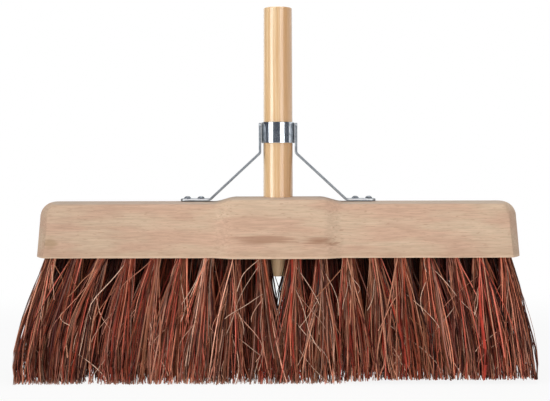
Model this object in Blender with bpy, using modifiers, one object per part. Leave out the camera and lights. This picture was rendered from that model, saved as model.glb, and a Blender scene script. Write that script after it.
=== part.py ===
"""Street broom head: a shaped wooden stock set with stiff fibre tufts, a round wooden handle in a tapered
socket, and a steel stay whose split band clamps the handle.

Metres, +Z up. The origin is on the floor under the middle of the stock, where the trimmed bristle tips
end. +X runs along the stock and +Y to its back, where the clamp bolt is.
"""

import math
import random

import bmesh
import bpy
from mathutils import Matrix

# Fits
CLEARANCE = 0.0003          # between two pieces that touch
CUT_OVERRUN = 0.002         # how far a cutter runs past the face it opens

# Stock
STOCK_LENGTH = 0.4592       # over the bowed ends
STOCK_DEPTH = 0.062         # front to back at the wings
STOCK_HEIGHT = 0.0516       # at the wings, on the centre line
STOCK_CROWN = 0.0015        # fall of the top from the centre line to the rounded edges
EDGE_RADIUS = 0.005         # long upper edges
END_BOW = 0.013             # how far the end faces bow out between their corners
END_LEAN = 0.005            # how far the end faces draw in from bottom to top
END_CORNER_RADIUS = 0.0148  # upper end corners, seen from the front
END_ZONE = 0.034            # length over which the bow of the ends dies out

# Saddle: the raised and bulged middle of the stock
SADDLE_LENGTH = 0.122       # over its slopes
SADDLE_CREST = 0.080        # length of its full height
SADDLE_RISE = 0.0042
SADDLE_BULGE = 0.005        # on each side
SADDLE_BELLY = 0.0005       # on the underside

# Handle
HANDLE_RADIUS = 0.0141      # at the saddle
HANDLE_THINNING = 0.0007    # how much its radius falls from the saddle to the cut end
HANDLE_REACH = 0.1784       # above the saddle
HANDLE_CHAMFER = 0.0006
TAPER_LENGTH = 0.056        # of the cone that sits in the stock, ending at its underside
SPIGOT_RADIUS = 0.0073
SPIGOT_REACH = 0.0194       # below the stock

# Bristles
BRISTLE_TRIM = 0.115        # from the underside of the wings to the trimmed tips
BRISTLE_LENGTH = 0.484      # over the tips, along the stock
BRISTLE_DEPTH = 0.096       # over the tips, front to back
COLUMNS_PER_SIDE = 9
COLUMN_PITCH = 0.0244
FIRST_COLUMN = 0.0162       # from the handle's axis to the first tuft of the front row
FIRST_COLUMN_TIP = 0.0118   # where that tuft ends: it leans in to close the gap under the handle
LEAN_SPAN = 0.085           # distance over which the outward lean of the tufts levels off
ROW_PITCH = 0.0138
ROW_COUNT = 4
TUFT_RADIUS = 0.0036        # of the ring of strand roots in one tuft
TUFT_FAN_SHARE = 2.1        # width of a tuft at its tips, of its width at the root
STRAND_RADIUS = 0.0016
STRANDS_IN_RING = 5         # and one more in the middle
STRAND_SIDES = 3
STRAND_BEND_SHARE = 0.42    # of the trim, where a strand bends
BEND_SPLAY_SHARE = 0.59     # of its splay, that a strand has at its bend: it straightens as it falls
TIP_SCATTER = 0.0012
BACKING_THICKNESS = 0.004   # slice of the stock that carries one column
BACKING_MARGIN = 0.0009     # from the outermost strand's root to the slice's edge
ROOT_SINK = 0.001           # how far a strand runs into its slice

# Stay: two bent steel strips
STRIP_WIDTH = 0.020
STRIP_THICKNESS = 0.0022
STRIP_BEND_RADIUS = 0.004   # on the middle of the strip
STRIP_END_RADIUS = 0.005
FOOT_OUTER = 0.0924         # from the handle's axis to the foot's free end
FOOT_INNER = 0.0650         # to the bend where the leg rises
LEG_RISE = 0.0455           # from the foot's underside to the bend below the tab
TAB_TOP = 0.0740            # above the foot's underside

# Clamp band
BAND_THICKNESS = 0.0013
BAND_HEIGHT = 0.0198
BAND_BOTTOM = 0.0549        # above the foot's underside
EAR_GAP = 0.004
EAR_BEND_RADIUS = 0.0012
EAR_END_RADIUS = 0.004

# Clamp bolt
BOLT_RADIUS = 0.0025
BOLT_SETBACK = 0.0068       # from the band's outside to the bolt's axis
BOLT_END = 0.0015           # thread standing out of the nut
EAR_PAST_BOLT = 0.0072
HEX_ACROSS_FLATS = 0.008
BOLT_HEAD_HEIGHT = 0.0035
NUT_HEIGHT = 0.004
WASHER_RADIUS = 0.005
WASHER_THICKNESS = 0.001

# Wood screws
SCREW_SPACING = 0.0128
SCREW_INSET = 0.0061        # from the foot's free end to the outer screw
SCREW_HEAD_RADIUS = 0.0034
SCREW_HEAD_HEIGHT = 0.0022
SCREW_SHANK_RADIUS = 0.002
SCREW_LENGTH = 0.020
SCREW_POINT = 0.005
RECESS_WIDTH = 0.0009
RECESS_SPAN = 0.0034
RECESS_DEPTH = 0.0012

# Facets
ROUND_STEPS = 40
SMALL_STEPS = 16
ARC_STEPS = 5
SLOPE_STEPS = 7
WING_STEPS = 4
CROWN_STEPS = 3
RANDOM_SEED = 12
SHARP_ANGLE = math.radians(30)  # edges folded more than this are shaded sharp
FLAT_ANGLE = math.radians(1)    # faces folded less than this are one face

# Sizes that follow from those above
HALF_LENGTH = STOCK_LENGTH / 2
UPPER_REACH = HALF_LENGTH - END_LEAN * (1 - END_CORNER_RADIUS / STOCK_HEIGHT)  # of a leaning end's top
WING_TOP = BRISTLE_TRIM + STOCK_HEIGHT
SADDLE_TOP = WING_TOP + SADDLE_RISE
HANDLE_TOP = SADDLE_TOP + HANDLE_REACH
STOCK_UNDERSIDE = BRISTLE_TRIM - SADDLE_BELLY
SPIGOT_END = STOCK_UNDERSIDE - SPIGOT_REACH
BACKING_TOP = BRISTLE_TRIM + BACKING_THICKNESS
BACKING_EDGE = TUFT_RADIUS + STRAND_RADIUS + BACKING_MARGIN
LAST_ROW = ROW_PITCH * (ROW_COUNT - 1) / 2
BACKING_DEPTH = 2 * (LAST_ROW + BACKING_EDGE)
FOOT_LEVEL = WING_TOP + CLEARANCE
BAND_INNER_RADIUS = HANDLE_RADIUS + CLEARANCE
BAND_OUTER_RADIUS = BAND_INNER_RADIUS + BAND_THICKNESS
BOLT_BACK = BAND_OUTER_RADIUS + BOLT_SETBACK
TAB_MIDDLE = BAND_OUTER_RADIUS + CLEARANCE + STRIP_THICKNESS / 2
EAR_OUTSIDE = EAR_GAP / 2 + BAND_THICKNESS
WASHER_INSIDE = EAR_OUTSIDE + CLEARANCE
WASHER_OUTSIDE = WASHER_INSIDE + WASHER_THICKNESS
SEAT_OF_HEX = WASHER_OUTSIDE + CLEARANCE
SCREW_SEAT = FOOT_LEVEL + STRIP_THICKNESS + CLEARANCE

WOOD = (0.62, 0.43, 0.30, 1.0)
VARNISHED_WOOD = (0.72, 0.49, 0.27, 1.0)
ZINC = (0.55, 0.58, 0.61, 1.0)
FIBRE = (0.22, 0.055, 0.035, 1.0)


def clear_scene():
    """Take out every object, so that the file holds only this part."""
    for thing in list(bpy.data.objects):
        bpy.data.objects.remove(thing, do_unlink=True)


def new_collection(name):
    group = bpy.data.collections.new(name)
    bpy.context.scene.collection.children.link(group)
    return group


def principled(name, colour, roughness, metallic=0.0):
    """A plain Principled material."""
    material = bpy.data.materials.new(name)
    material.use_nodes = True
    shader = material.node_tree.nodes["Principled BSDF"]
    shader.inputs["Base Color"].default_value = colour
    shader.inputs["Roughness"].default_value = roughness
    shader.inputs["Metallic"].default_value = metallic
    return material


class Workshop:
    """The collections, the materials and the empty that the pieces hang from."""

    def __init__(self):
        self.parts = new_collection("street_broom_head")
        self.cutters = new_collection("cutters")
        self.frame = bpy.data.objects.new("head_frame", None)
        self.parts.objects.link(self.frame)
        self.wood = principled("beech_stock", WOOD, 0.62)
        self.varnished = principled("varnished_handle", VARNISHED_WOOD, 0.28)
        self.zinc = principled("zinc_plated_steel", ZINC, 0.3, 1.0)
        self.fibre = principled("bass_fibre", FIBRE, 0.7)

    def add(self, name, mesh, material, location=(0, 0, 0), rotation=(0, 0, 0)):
        """A part: one named object with its material, hung from the frame."""
        piece = bpy.data.objects.new(name, mesh)
        if not mesh.materials:
            mesh.materials.append(material)
        self.parts.objects.link(piece)
        piece.parent = self.frame
        piece.location = location
        piece.rotation_euler = rotation
        return piece

    def add_cutter(self, name, mesh, location=(0, 0, 0), rotation=(0, 0, 0)):
        """A tool shape that only a Boolean reads."""
        tool = bpy.data.objects.new(name, mesh)
        self.cutters.objects.link(tool)
        tool.location = location
        tool.rotation_euler = rotation
        tool.display_type = "WIRE"
        tool.hide_render = True
        return tool


def boolean(piece, tool, operation="DIFFERENCE"):
    step = piece.modifiers.new(tool.name, "BOOLEAN")
    step.object = tool
    step.operation = operation
    step.solver = "EXACT"


def mesh_from(bm, name):
    """A mesh from a bmesh, which is freed."""
    bmesh.ops.recalc_face_normals(bm, faces=bm.faces)
    mesh = bpy.data.meshes.new(name)
    bm.to_mesh(mesh)
    bm.free()
    return mesh


def shaded_round(mesh):
    """The same mesh with its round sides shaded smooth and its edges kept sharp."""
    mesh.shade_smooth()
    mesh.set_sharp_from_angle(angle=SHARP_ANGLE)
    return mesh


def finished_mesh(holder):
    """The mesh that a helper object's curve or modifiers make. The helper is removed."""
    shape = holder.evaluated_get(bpy.context.evaluated_depsgraph_get())
    mesh = bpy.data.meshes.new_from_object(shape)
    bpy.data.objects.remove(holder)
    return mesh


def turned(name, profile, steps):
    """A solid of revolution round Z. The profile's (radius, height) points run down its outer side."""
    line = bpy.data.meshes.new(f"{name}_profile")
    points = [(radius, 0, height) for radius, height in profile]
    line.from_pydata(points, list(zip(range(len(points)), range(1, len(points)))), [])
    holder = bpy.data.objects.new(name, line)
    bpy.context.scene.collection.objects.link(holder)
    turning = holder.modifiers.new("turning", "SCREW")
    turning.steps = turning.render_steps = steps
    turning.use_merge_vertices = True
    turning.merge_threshold = CLEARANCE / 10
    mesh = finished_mesh(holder)
    mesh.name = name
    return shaded_round(mesh)


def cylinder(name, radius, low, high):
    """A round bar along Z between two heights."""
    bm = bmesh.new()
    bmesh.ops.create_cone(
        bm, cap_ends=True, segments=SMALL_STEPS, radius1=radius, radius2=radius, depth=high - low
    )
    bmesh.ops.translate(bm, vec=(0, 0, (low + high) / 2), verts=bm.verts)
    return shaded_round(mesh_from(bm, name))


def box(name, size, middle=(0, 0, 0)):
    bm = bmesh.new()
    bmesh.ops.create_cube(bm, size=1)
    bmesh.ops.scale(bm, vec=size, verts=bm.verts)
    bmesh.ops.translate(bm, vec=middle, verts=bm.verts)
    return mesh_from(bm, name)


def arc(centre, radius, start, end, steps=ARC_STEPS):
    """Points on a circle's arc from one angle to another, in radians."""
    turns = [start + (end - start) * step / steps for step in range(steps + 1)]
    return [(centre[0] + radius * math.cos(turn), centre[1] + radius * math.sin(turn)) for turn in turns]


def rounded_path(corners, radius):
    """A line through the corners, each inner corner replaced by an arc of the radius."""
    path = [corners[0]]
    for before, corner, after in zip(corners, corners[1:], corners[2:]):
        arriving = math.atan2(corner[1] - before[1], corner[0] - before[0])
        leaving = math.atan2(after[1] - corner[1], after[0] - corner[0])
        turn = math.remainder(leaving - arriving, math.tau)
        side = math.copysign(math.pi / 2, turn)
        setback = radius * math.tan(abs(turn) / 2)
        start = (corner[0] - setback * math.cos(arriving), corner[1] - setback * math.sin(arriving))
        inwards = arriving + side
        centre = (start[0] + radius * math.cos(inwards), start[1] + radius * math.sin(inwards))
        path += arc(centre, radius, arriving - side, arriving - side + turn)
    return path + [corners[-1]]


def strip_mesh(name, path, thickness, width, end_radius):
    """A flat strip on edge: its middle line is the path in XY, and its width runs along Z."""
    outline = []
    back = []
    for index, (x, y) in enumerate(path):
        before = path[max(index - 1, 0)]
        after = path[min(index + 1, len(path) - 1)]
        heading = math.atan2(after[1] - before[1], after[0] - before[0])
        across = (-math.sin(heading) * thickness / 2, math.cos(heading) * thickness / 2)
        outline.append((x + across[0], y + across[1]))
        back.append((x - across[0], y - across[1]))
    outline += reversed(back)
    curve = bpy.data.curves.new(name, "CURVE")
    curve.dimensions = "2D"
    curve.fill_mode = "BOTH"
    curve.extrude = width / 2
    spline = curve.splines.new("POLY")
    spline.points.add(len(outline) - 1)
    for point, (x, y) in zip(spline.points, outline):
        point.co = (x, y, 0, 1)
    spline.use_cyclic_u = True
    holder = bpy.data.objects.new(name, curve)
    bpy.context.scene.collection.objects.link(holder)
    mesh = finished_mesh(holder)
    bm = bmesh.new()
    bm.from_mesh(mesh)
    bpy.data.meshes.remove(mesh)
    bmesh.ops.remove_doubles(bm, verts=bm.verts, dist=CLEARANCE / 10)
    bmesh.ops.dissolve_limit(bm, angle_limit=FLAT_ANGLE, verts=bm.verts, edges=bm.edges)
    round_strip_ends(bm, [path[0], path[-1]], thickness, end_radius)
    return mesh_from(bm, name)


def round_strip_ends(bm, ends, thickness, radius):
    """Round the four outer corners of a strip, at its two ends."""
    corners = []
    for edge in bm.edges:
        middle = (edge.verts[0].co + edge.verts[1].co) / 2
        level = abs(edge.verts[0].co.z - edge.verts[1].co.z) < CLEARANCE
        at_end = any(math.dist(middle.xy, end) < thickness / 4 for end in ends)
        if level and at_end:
            corners.append(edge)
    bmesh.ops.bevel(
        bm, geom=corners, offset=radius, segments=ARC_STEPS, profile=0.5, affect="EDGES", material=-1
    )


def saddle_share(x):
    """How much of the saddle a place along the stock has: 1 on its crest and 0 at the wings."""
    crest, foot = SADDLE_CREST / 2, SADDLE_LENGTH / 2
    along = min(max((foot - abs(x)) / (foot - crest), 0), 1)
    return along * along * (3 - 2 * along)


def stock_half_depth(x):
    return STOCK_DEPTH / 2 + SADDLE_BULGE * saddle_share(x)


def stock_top(x):
    return WING_TOP + SADDLE_RISE * saddle_share(x)


def stock_bottom(x):
    return BRISTLE_TRIM - SADDLE_BELLY * saddle_share(x)


def stock_stations():
    """Places along half of the stock's top, from its middle to its end, each with the fall of the corner."""
    crest, foot = SADDLE_CREST / 2, SADDLE_LENGTH / 2
    corner = UPPER_REACH - END_CORNER_RADIUS
    places = [(0, 0)]
    places += [(crest + (foot - crest) * step / SLOPE_STEPS, 0) for step in range(SLOPE_STEPS + 1)]
    places += [(foot + (corner - foot) * step / WING_STEPS, 0) for step in range(1, WING_STEPS)]
    for step in range(ARC_STEPS + 1):
        turn = math.pi / 2 * step / ARC_STEPS
        places.append((corner + END_CORNER_RADIUS * math.sin(turn), END_CORNER_RADIUS * (1 - math.cos(turn))))
    return places


def stock_crossings():
    """Places across half of the stock's top, from its middle to its side.

    Each is the place's distance in from the side, or its share of the crowned middle, and its fall.
    """
    shares = [step / CROWN_STEPS for step in range(CROWN_STEPS)]
    places = [("crown", share, STOCK_CROWN * share ** 2) for share in shares]
    for step in range(ARC_STEPS + 1):
        turn = math.pi / 2 * step / ARC_STEPS
        fall = STOCK_CROWN + EDGE_RADIUS * (1 - math.cos(turn))
        places.append(("edge", EDGE_RADIUS * (1 - math.sin(turn)), fall))
    return places


def mirrored(places):
    """The places of one half, as (side, place) from the far end of one half to that of the other."""
    return [(-1, place) for place in reversed(places[1:])] + [(1, place) for place in places]


def stock_mesh():
    """The block: a grid extruded once, its lower and upper points then set by the stock's own curves."""
    stations = mirrored(stock_stations())
    crossings = mirrored(stock_crossings())
    columns, rows = len(stations) - 1, len(crossings) - 1
    bm = bmesh.new()
    bmesh.ops.create_grid(bm, x_segments=columns, y_segments=rows, size=0.5)
    lower = list(bm.verts)
    upper = bmesh.ops.extrude_face_region(bm, geom=bm.faces[:])["geom"]
    upper = [vert for vert in upper if isinstance(vert, bmesh.types.BMVert)]
    for is_top, verts in ((False, lower), (True, upper)):
        for vert in verts:
            station = stations[round((vert.co.x + 0.5) * columns)]
            crossing = crossings[round((vert.co.y + 0.5) * rows)]
            vert.co = stock_point(station, crossing, is_top)
    return shaded_round(mesh_from(bm, "stock"))


def stock_point(station, crossing, is_top):
    """Where one point of the block's grid lies."""
    end_side, (reach, corner_fall) = station
    depth_side, (kind, place, edge_fall) = crossing
    half_depth = stock_half_depth(reach)
    y = half_depth - place if kind == "edge" else (half_depth - EDGE_RADIUS) * place
    if is_top:
        z = stock_top(reach) - corner_fall - edge_fall
        along = reach
    else:
        z = stock_bottom(reach)
        along = reach * HALF_LENGTH / UPPER_REACH
    bowed = min(max((reach - HALF_LENGTH + END_ZONE) / END_ZONE, 0), 1)
    along -= END_BOW * bowed * (y / (STOCK_DEPTH / 2)) ** 2
    return (end_side * along, depth_side * y, z)


def handle_profile(extra, top, bottom):
    """The handle's outer side, or with extra the wall of the socket that it sits in."""
    cone_top = STOCK_UNDERSIDE + TAPER_LENGTH
    return [
        (0, top),
        (HANDLE_RADIUS + extra, top),
        (HANDLE_RADIUS + extra, cone_top),
        (SPIGOT_RADIUS + extra, STOCK_UNDERSIDE),
        (SPIGOT_RADIUS + extra, bottom),
        (0, bottom),
    ]


def screw_places():
    """Distances from the handle's axis to the two screws of a foot."""
    outer = FOOT_OUTER - SCREW_INSET
    return [outer, outer - SCREW_SPACING]


def build_stock(shop):
    stock = shop.add("stock", stock_mesh(), shop.wood)
    socket = handle_profile(CLEARANCE, SADDLE_TOP + CUT_OVERRUN, STOCK_UNDERSIDE - CUT_OVERRUN)
    boolean(stock, shop.add_cutter("socket_cutter", turned("socket_cutter", socket, ROUND_STEPS)))
    low = STOCK_UNDERSIDE - CUT_OVERRUN
    high = BACKING_TOP + CLEARANCE
    inner, outer = backing_edges(0)[0], backing_edges(COLUMNS_PER_SIDE - 1)[1]
    size = (outer - inner + CLEARANCE, BACKING_DEPTH + 2 * CLEARANCE, high - low)
    for side_name, side in (("left", -1), ("right", 1)):
        middle = (side * (inner + outer) / 2, 0, (low + high) / 2)
        name = f"pocket_cutter_{side_name}"
        boolean(stock, shop.add_cutter(name, box(name, size, middle)))
        for number, place in enumerate(screw_places(), 1):
            name = f"pilot_cutter_{side_name}_{number}"
            reach = SCREW_SEAT - SCREW_LENGTH - CLEARANCE
            drill = cylinder(name, SCREW_SHANK_RADIUS + CLEARANCE, reach, WING_TOP + CUT_OVERRUN)
            boolean(stock, shop.add_cutter(name, drill, (side * place, 0, 0)))


def build_handle(shop):
    profile = handle_profile(0, HANDLE_TOP, SPIGOT_END)
    top_radius = HANDLE_RADIUS - HANDLE_THINNING
    profile[1:2] = [
        (top_radius - HANDLE_CHAMFER, HANDLE_TOP),
        (top_radius, HANDLE_TOP - HANDLE_CHAMFER),
        (HANDLE_RADIUS, SADDLE_TOP),
    ]
    shop.add("handle", turned("handle", profile, ROUND_STEPS), shop.varnished)


def front_roots():
    """Distances from the handle's axis to the tufts of the front row, on one side."""
    return [FIRST_COLUMN + COLUMN_PITCH * number for number in range(COLUMNS_PER_SIDE)]


def backing_edges(number):
    """Where the slice of one column starts and ends, as distances from the handle's axis."""
    outer = front_roots()[number] + BACKING_EDGE
    inner = outer - (COLUMN_PITCH if number else 2 * BACKING_EDGE)
    return inner, outer


def tuft_centres(number):
    """Tuft places of one column. Every second row is set half a pitch inwards, clear of the handle."""
    centres = []
    for row in range(ROW_COUNT):
        shift = COLUMN_PITCH / 2 if row % 2 else 0
        if number or not shift:
            centres.append((front_roots()[number] - shift, ROW_PITCH * row - LAST_ROW))
    return centres


def lean_share(place):
    """How far the outward lean has come towards its limit, at a distance from the handle's axis."""
    return 1 - math.exp((FIRST_COLUMN - place) / LEAN_SPAN)


def tip_of(centre, offset, scatter):
    """Where a strand ends on the floor: its tuft has leaned over, and fanned open."""
    fan_reach = TUFT_RADIUS * TUFT_FAN_SHARE + STRAND_RADIUS
    last_lean = BRISTLE_LENGTH / 2 - fan_reach - front_roots()[-1] + FIRST_COLUMN - FIRST_COLUMN_TIP
    lean = last_lean * lean_share(centre[0]) / lean_share(front_roots()[-1])
    along = centre[0] - FIRST_COLUMN + FIRST_COLUMN_TIP + lean
    across = centre[1] * (BRISTLE_DEPTH / 2 - fan_reach) / LAST_ROW
    middle = (along, across)
    return [place + away * TUFT_FAN_SHARE + loose for place, away, loose in zip(middle, offset, scatter)]


def place_ring(verts, centre, level):
    """Move a strand's ring of points to a new middle and level."""
    for axis in (0, 1):
        move = centre[axis] - sum(vert.co[axis] for vert in verts) / len(verts)
        for vert in verts:
            vert.co[axis] += move
    for vert in verts:
        vert.co.z = level


def add_strand(bm, root, tip, turn, top):
    """One strand: a prism from its root to its bend, extruded again to a tip cut flat on the floor."""
    prism = bmesh.ops.create_cone(
        bm, cap_ends=True, segments=STRAND_SIDES, radius1=STRAND_RADIUS, radius2=STRAND_RADIUS,
        depth=BRISTLE_TRIM, matrix=Matrix.Rotation(turn, 4, "Z"),
    )["verts"]
    upper = [vert for vert in prism if vert.co.z > 0]
    lower = [vert for vert in prism if vert.co.z < 0]
    bend = [start + (end - start) * BEND_SPLAY_SHARE for start, end in zip(root, tip)]
    place_ring(upper, root, top)
    place_ring(lower, bend, BRISTLE_TRIM * (1 - STRAND_BEND_SHARE))
    cap = [face for face in lower[0].link_faces if all(vert in lower for vert in face.verts)]
    end = bmesh.ops.extrude_discrete_faces(bm, faces=cap)["faces"][0]
    place_ring(list(end.verts), tip, 0)


def strands_mesh(name, side, number, chance):
    """All strands of one column."""
    bm = bmesh.new()
    middle = sum(backing_edges(number)) / 2
    underside = stock_bottom(middle)
    for centre in tuft_centres(number):
        spin = chance.uniform(0, math.tau)
        ring = [math.tau * strand / STRANDS_IN_RING + spin for strand in range(STRANDS_IN_RING)]
        offsets = [(0, 0)] + [(TUFT_RADIUS * math.cos(turn), TUFT_RADIUS * math.sin(turn)) for turn in ring]
        for offset in offsets:
            scatter = [chance.uniform(-TIP_SCATTER, TIP_SCATTER) for _ in (0, 1)]
            tip = tip_of(centre, offset, scatter)
            root = (centre[0] + offset[0], centre[1] + offset[1])
            turn = chance.uniform(0, math.tau)
            add_strand(bm, root, tip, turn, underside + ROOT_SINK)
    bmesh.ops.scale(bm, vec=(side, 1, 1), verts=bm.verts)
    return mesh_from(bm, name)


def build_tufts(shop):
    """Eighteen columns of tufts, each fused to its own slice of the stock's underside."""
    chance = random.Random(RANDOM_SEED)
    for side_name, side in (("left", -1), ("right", 1)):
        for number in range(COLUMNS_PER_SIDE):
            name = f"tuft_column_{side_name}_{number + 1}"
            inner, outer = backing_edges(number)
            underside = stock_bottom((inner + outer) / 2)
            size = (outer - inner - CLEARANCE, BACKING_DEPTH, BACKING_TOP - underside)
            middle = (side * (inner + outer) / 2, 0, (BACKING_TOP + underside) / 2)
            column = shop.add(name, box(name, size, middle), shop.fibre)
            grown = strands_mesh(f"{name}_strands", side, number, chance)
            boolean(column, shop.add_cutter(f"{name}_strands", grown), "UNION")


def build_stay(shop):
    """Left and right stay strip: foot, leg and tab in one bent strip, with two screw holes."""
    half = STRIP_THICKNESS / 2
    corners = [
        (FOOT_OUTER, half),
        (FOOT_INNER, half),
        (TAB_MIDDLE, LEG_RISE),
        (TAB_MIDDLE, TAB_TOP),
    ]
    path = rounded_path(corners, STRIP_BEND_RADIUS)
    mesh = strip_mesh("stay", path, STRIP_THICKNESS, STRIP_WIDTH, STRIP_END_RADIUS)
    hole = cylinder("screw_hole", SCREW_SHANK_RADIUS + CLEARANCE, -CUT_OVERRUN, STRIP_THICKNESS + CUT_OVERRUN)
    upright = math.pi / 2
    for side_name, side in (("left", -1), ("right", 1)):
        turn = 0 if side > 0 else math.pi
        stay = shop.add(f"stay_{side_name}", mesh, shop.zinc, (0, 0, FOOT_LEVEL), (upright, 0, turn))
        for number, place in enumerate(screw_places(), 1):
            tool = shop.add_cutter(f"screw_hole_{side_name}_{number}", hole, (side * place, 0, FOOT_LEVEL))
            boolean(stay, tool)


def band_path():
    """Middle line of the clamp band, seen from above: ear, bend, ring, bend, ear."""
    ring = BAND_INNER_RADIUS + BAND_THICKNESS / 2
    bend = EAR_BEND_RADIUS + BAND_THICKNESS / 2
    bend_x = EAR_GAP / 2 + BAND_THICKNESS + EAR_BEND_RADIUS
    bend_y = math.sqrt((ring + bend) ** 2 - bend_x ** 2)
    meeting = math.atan2(bend_y, bend_x)
    ear_x = bend_x - bend
    ear_end = BOLT_BACK + EAR_PAST_BOLT
    right = [(ear_x, ear_end)] + arc((bend_x, bend_y), bend, math.pi, math.pi + meeting)
    around = arc((0, 0), ring, meeting, -math.pi - meeting, ROUND_STEPS)
    left = [(-x, y) for x, y in reversed(right)]
    return right[:-1] + around + left[1:]


def build_band(shop):
    """Split band with two ears behind the handle, drilled for the clamp bolt."""
    mesh = strip_mesh("clamp_band", band_path(), BAND_THICKNESS, BAND_HEIGHT, EAR_END_RADIUS)
    middle = FOOT_LEVEL + BAND_BOTTOM + BAND_HEIGHT / 2
    band = shop.add("clamp_band", mesh, shop.zinc, (0, 0, middle))
    reach = EAR_OUTSIDE + CUT_OVERRUN
    drill = cylinder("bolt_hole_cutter", BOLT_RADIUS + CLEARANCE, -reach, reach)
    boolean(band, shop.add_cutter("bolt_hole_cutter", drill, (0, BOLT_BACK, middle), (0, math.pi / 2, 0)))
    return middle


def hexagon(name, low, high):
    """A hexagonal prism along Z, with its flats HEX_ACROSS_FLATS apart."""
    bm = bmesh.new()
    radius = HEX_ACROSS_FLATS / math.sqrt(3)
    bmesh.ops.create_cone(bm, cap_ends=True, segments=6, radius1=radius, radius2=radius, depth=high - low)
    bmesh.ops.translate(bm, vec=(0, 0, (low + high) / 2), verts=bm.verts)
    return mesh_from(bm, name)


def build_fixings(shop, level):
    """Clamp bolt, nut and washers, along X through the two ears."""
    along_x = (0, math.pi / 2, 0)
    axis = (0, BOLT_BACK, level)
    head_end = -SEAT_OF_HEX - BOLT_HEAD_HEIGHT
    shank_end = SEAT_OF_HEX + NUT_HEIGHT + BOLT_END
    bolt = shop.add("clamp_bolt", hexagon("clamp_bolt", head_end, -SEAT_OF_HEX), shop.zinc, axis, along_x)
    shank = cylinder("bolt_shank", BOLT_RADIUS, -SEAT_OF_HEX - BOLT_HEAD_HEIGHT / 2, shank_end)
    boolean(bolt, shop.add_cutter("bolt_shank", shank, axis, along_x), "UNION")
    nut_end = SEAT_OF_HEX + NUT_HEIGHT
    nut = shop.add("clamp_nut", hexagon("clamp_nut", SEAT_OF_HEX, nut_end), shop.zinc, axis, along_x)
    thread = cylinder("nut_bore", BOLT_RADIUS + CLEARANCE, SEAT_OF_HEX - CUT_OVERRUN, nut_end + CUT_OVERRUN)
    boolean(nut, shop.add_cutter("nut_bore", thread, axis, along_x))
    for name, side in (("head_washer", -1), ("nut_washer", 1)):
        low, high = sorted((side * WASHER_INSIDE, side * WASHER_OUTSIDE))
        washer = shop.add(name, cylinder(name, WASHER_RADIUS, low, high), shop.zinc, axis, along_x)
        hole = cylinder(f"{name}_bore", BOLT_RADIUS + CLEARANCE, low - CUT_OVERRUN, high + CUT_OVERRUN)
        boolean(washer, shop.add_cutter(f"{name}_bore", hole, axis, along_x))


def screw_mesh():
    """Round-headed wood screw: domed head, shank and point, its seat at height zero."""
    dome = [
        (SCREW_HEAD_RADIUS * math.sin(math.pi / 2 * step / ARC_STEPS),
         SCREW_HEAD_HEIGHT * math.cos(math.pi / 2 * step / ARC_STEPS))
        for step in range(ARC_STEPS + 1)
    ]
    shank = [
        (SCREW_SHANK_RADIUS, 0),
        (SCREW_SHANK_RADIUS, SCREW_POINT - SCREW_LENGTH),
        (0, -SCREW_LENGTH),
    ]
    return turned("stay_screw", dome + shank, SMALL_STEPS)


def build_screws(shop):
    """Four wood screws with a cross recess, two in each foot."""
    mesh = screw_mesh()
    depth = SCREW_HEAD_HEIGHT - RECESS_DEPTH / 2 + CUT_OVERRUN / 2
    size = (RECESS_SPAN, RECESS_WIDTH, RECESS_DEPTH + CUT_OVERRUN)
    slot = box("recess", size, (0, 0, depth))
    for side_name, side in (("left", -1), ("right", 1)):
        for number, place in enumerate(screw_places(), 1):
            seat = (side * place, 0, SCREW_SEAT)
            screw = shop.add(f"stay_screw_{side_name}_{number}", mesh, shop.zinc, seat)
            for label, turn in (("long", 0), ("cross", math.pi / 2)):
                name = f"recess_{label}_{side_name}_{number}"
                boolean(screw, shop.add_cutter(name, slot, seat, (0, 0, turn)))


def main():
    clear_scene()
    shop = Workshop()
    build_stock(shop)
    build_handle(shop)
    build_tufts(shop)
    build_stay(shop)
    level = build_band(shop)
    build_fixings(shop, level)
    build_screws(shop)


main()
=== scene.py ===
"""Street broom head: the finished surface of every piece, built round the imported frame, and a plain studio.

Laid out as an add-on. Each operator builds one piece or one group of like pieces from the settings in its
property group, and the sidebar panel lists them. Metres, +Z up, and the same origin as the frame: on the
floor under the middle of the stock, with +X along the stock and +Y to its back.
"""

import functools
import math
import random
from dataclasses import dataclass

import bmesh
import bpy
from mathutils import Matrix, Vector


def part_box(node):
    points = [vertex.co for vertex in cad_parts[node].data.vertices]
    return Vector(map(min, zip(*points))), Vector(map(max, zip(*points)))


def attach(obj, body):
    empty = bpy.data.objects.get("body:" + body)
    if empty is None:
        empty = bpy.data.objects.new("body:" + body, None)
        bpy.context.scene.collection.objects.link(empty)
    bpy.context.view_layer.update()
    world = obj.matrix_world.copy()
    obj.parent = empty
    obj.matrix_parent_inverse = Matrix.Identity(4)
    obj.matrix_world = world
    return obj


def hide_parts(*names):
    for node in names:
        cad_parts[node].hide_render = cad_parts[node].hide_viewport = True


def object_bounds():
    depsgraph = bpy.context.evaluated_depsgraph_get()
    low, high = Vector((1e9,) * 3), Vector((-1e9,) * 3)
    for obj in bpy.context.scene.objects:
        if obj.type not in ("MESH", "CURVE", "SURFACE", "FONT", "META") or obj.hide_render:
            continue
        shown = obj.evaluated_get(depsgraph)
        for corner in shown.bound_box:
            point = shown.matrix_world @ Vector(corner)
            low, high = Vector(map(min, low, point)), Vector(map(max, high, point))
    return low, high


bl_info = {
    "name": "Street Broom Head",
    "version": (1, 0, 0),
    "blender": (4, 5, 0),
    "location": "3D Viewport > Sidebar > Broom",
    "description": "Builds a street broom head with fibre tufts, a wooden stock, a handle and its steel stay",
    "category": "Add Mesh",
}

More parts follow.
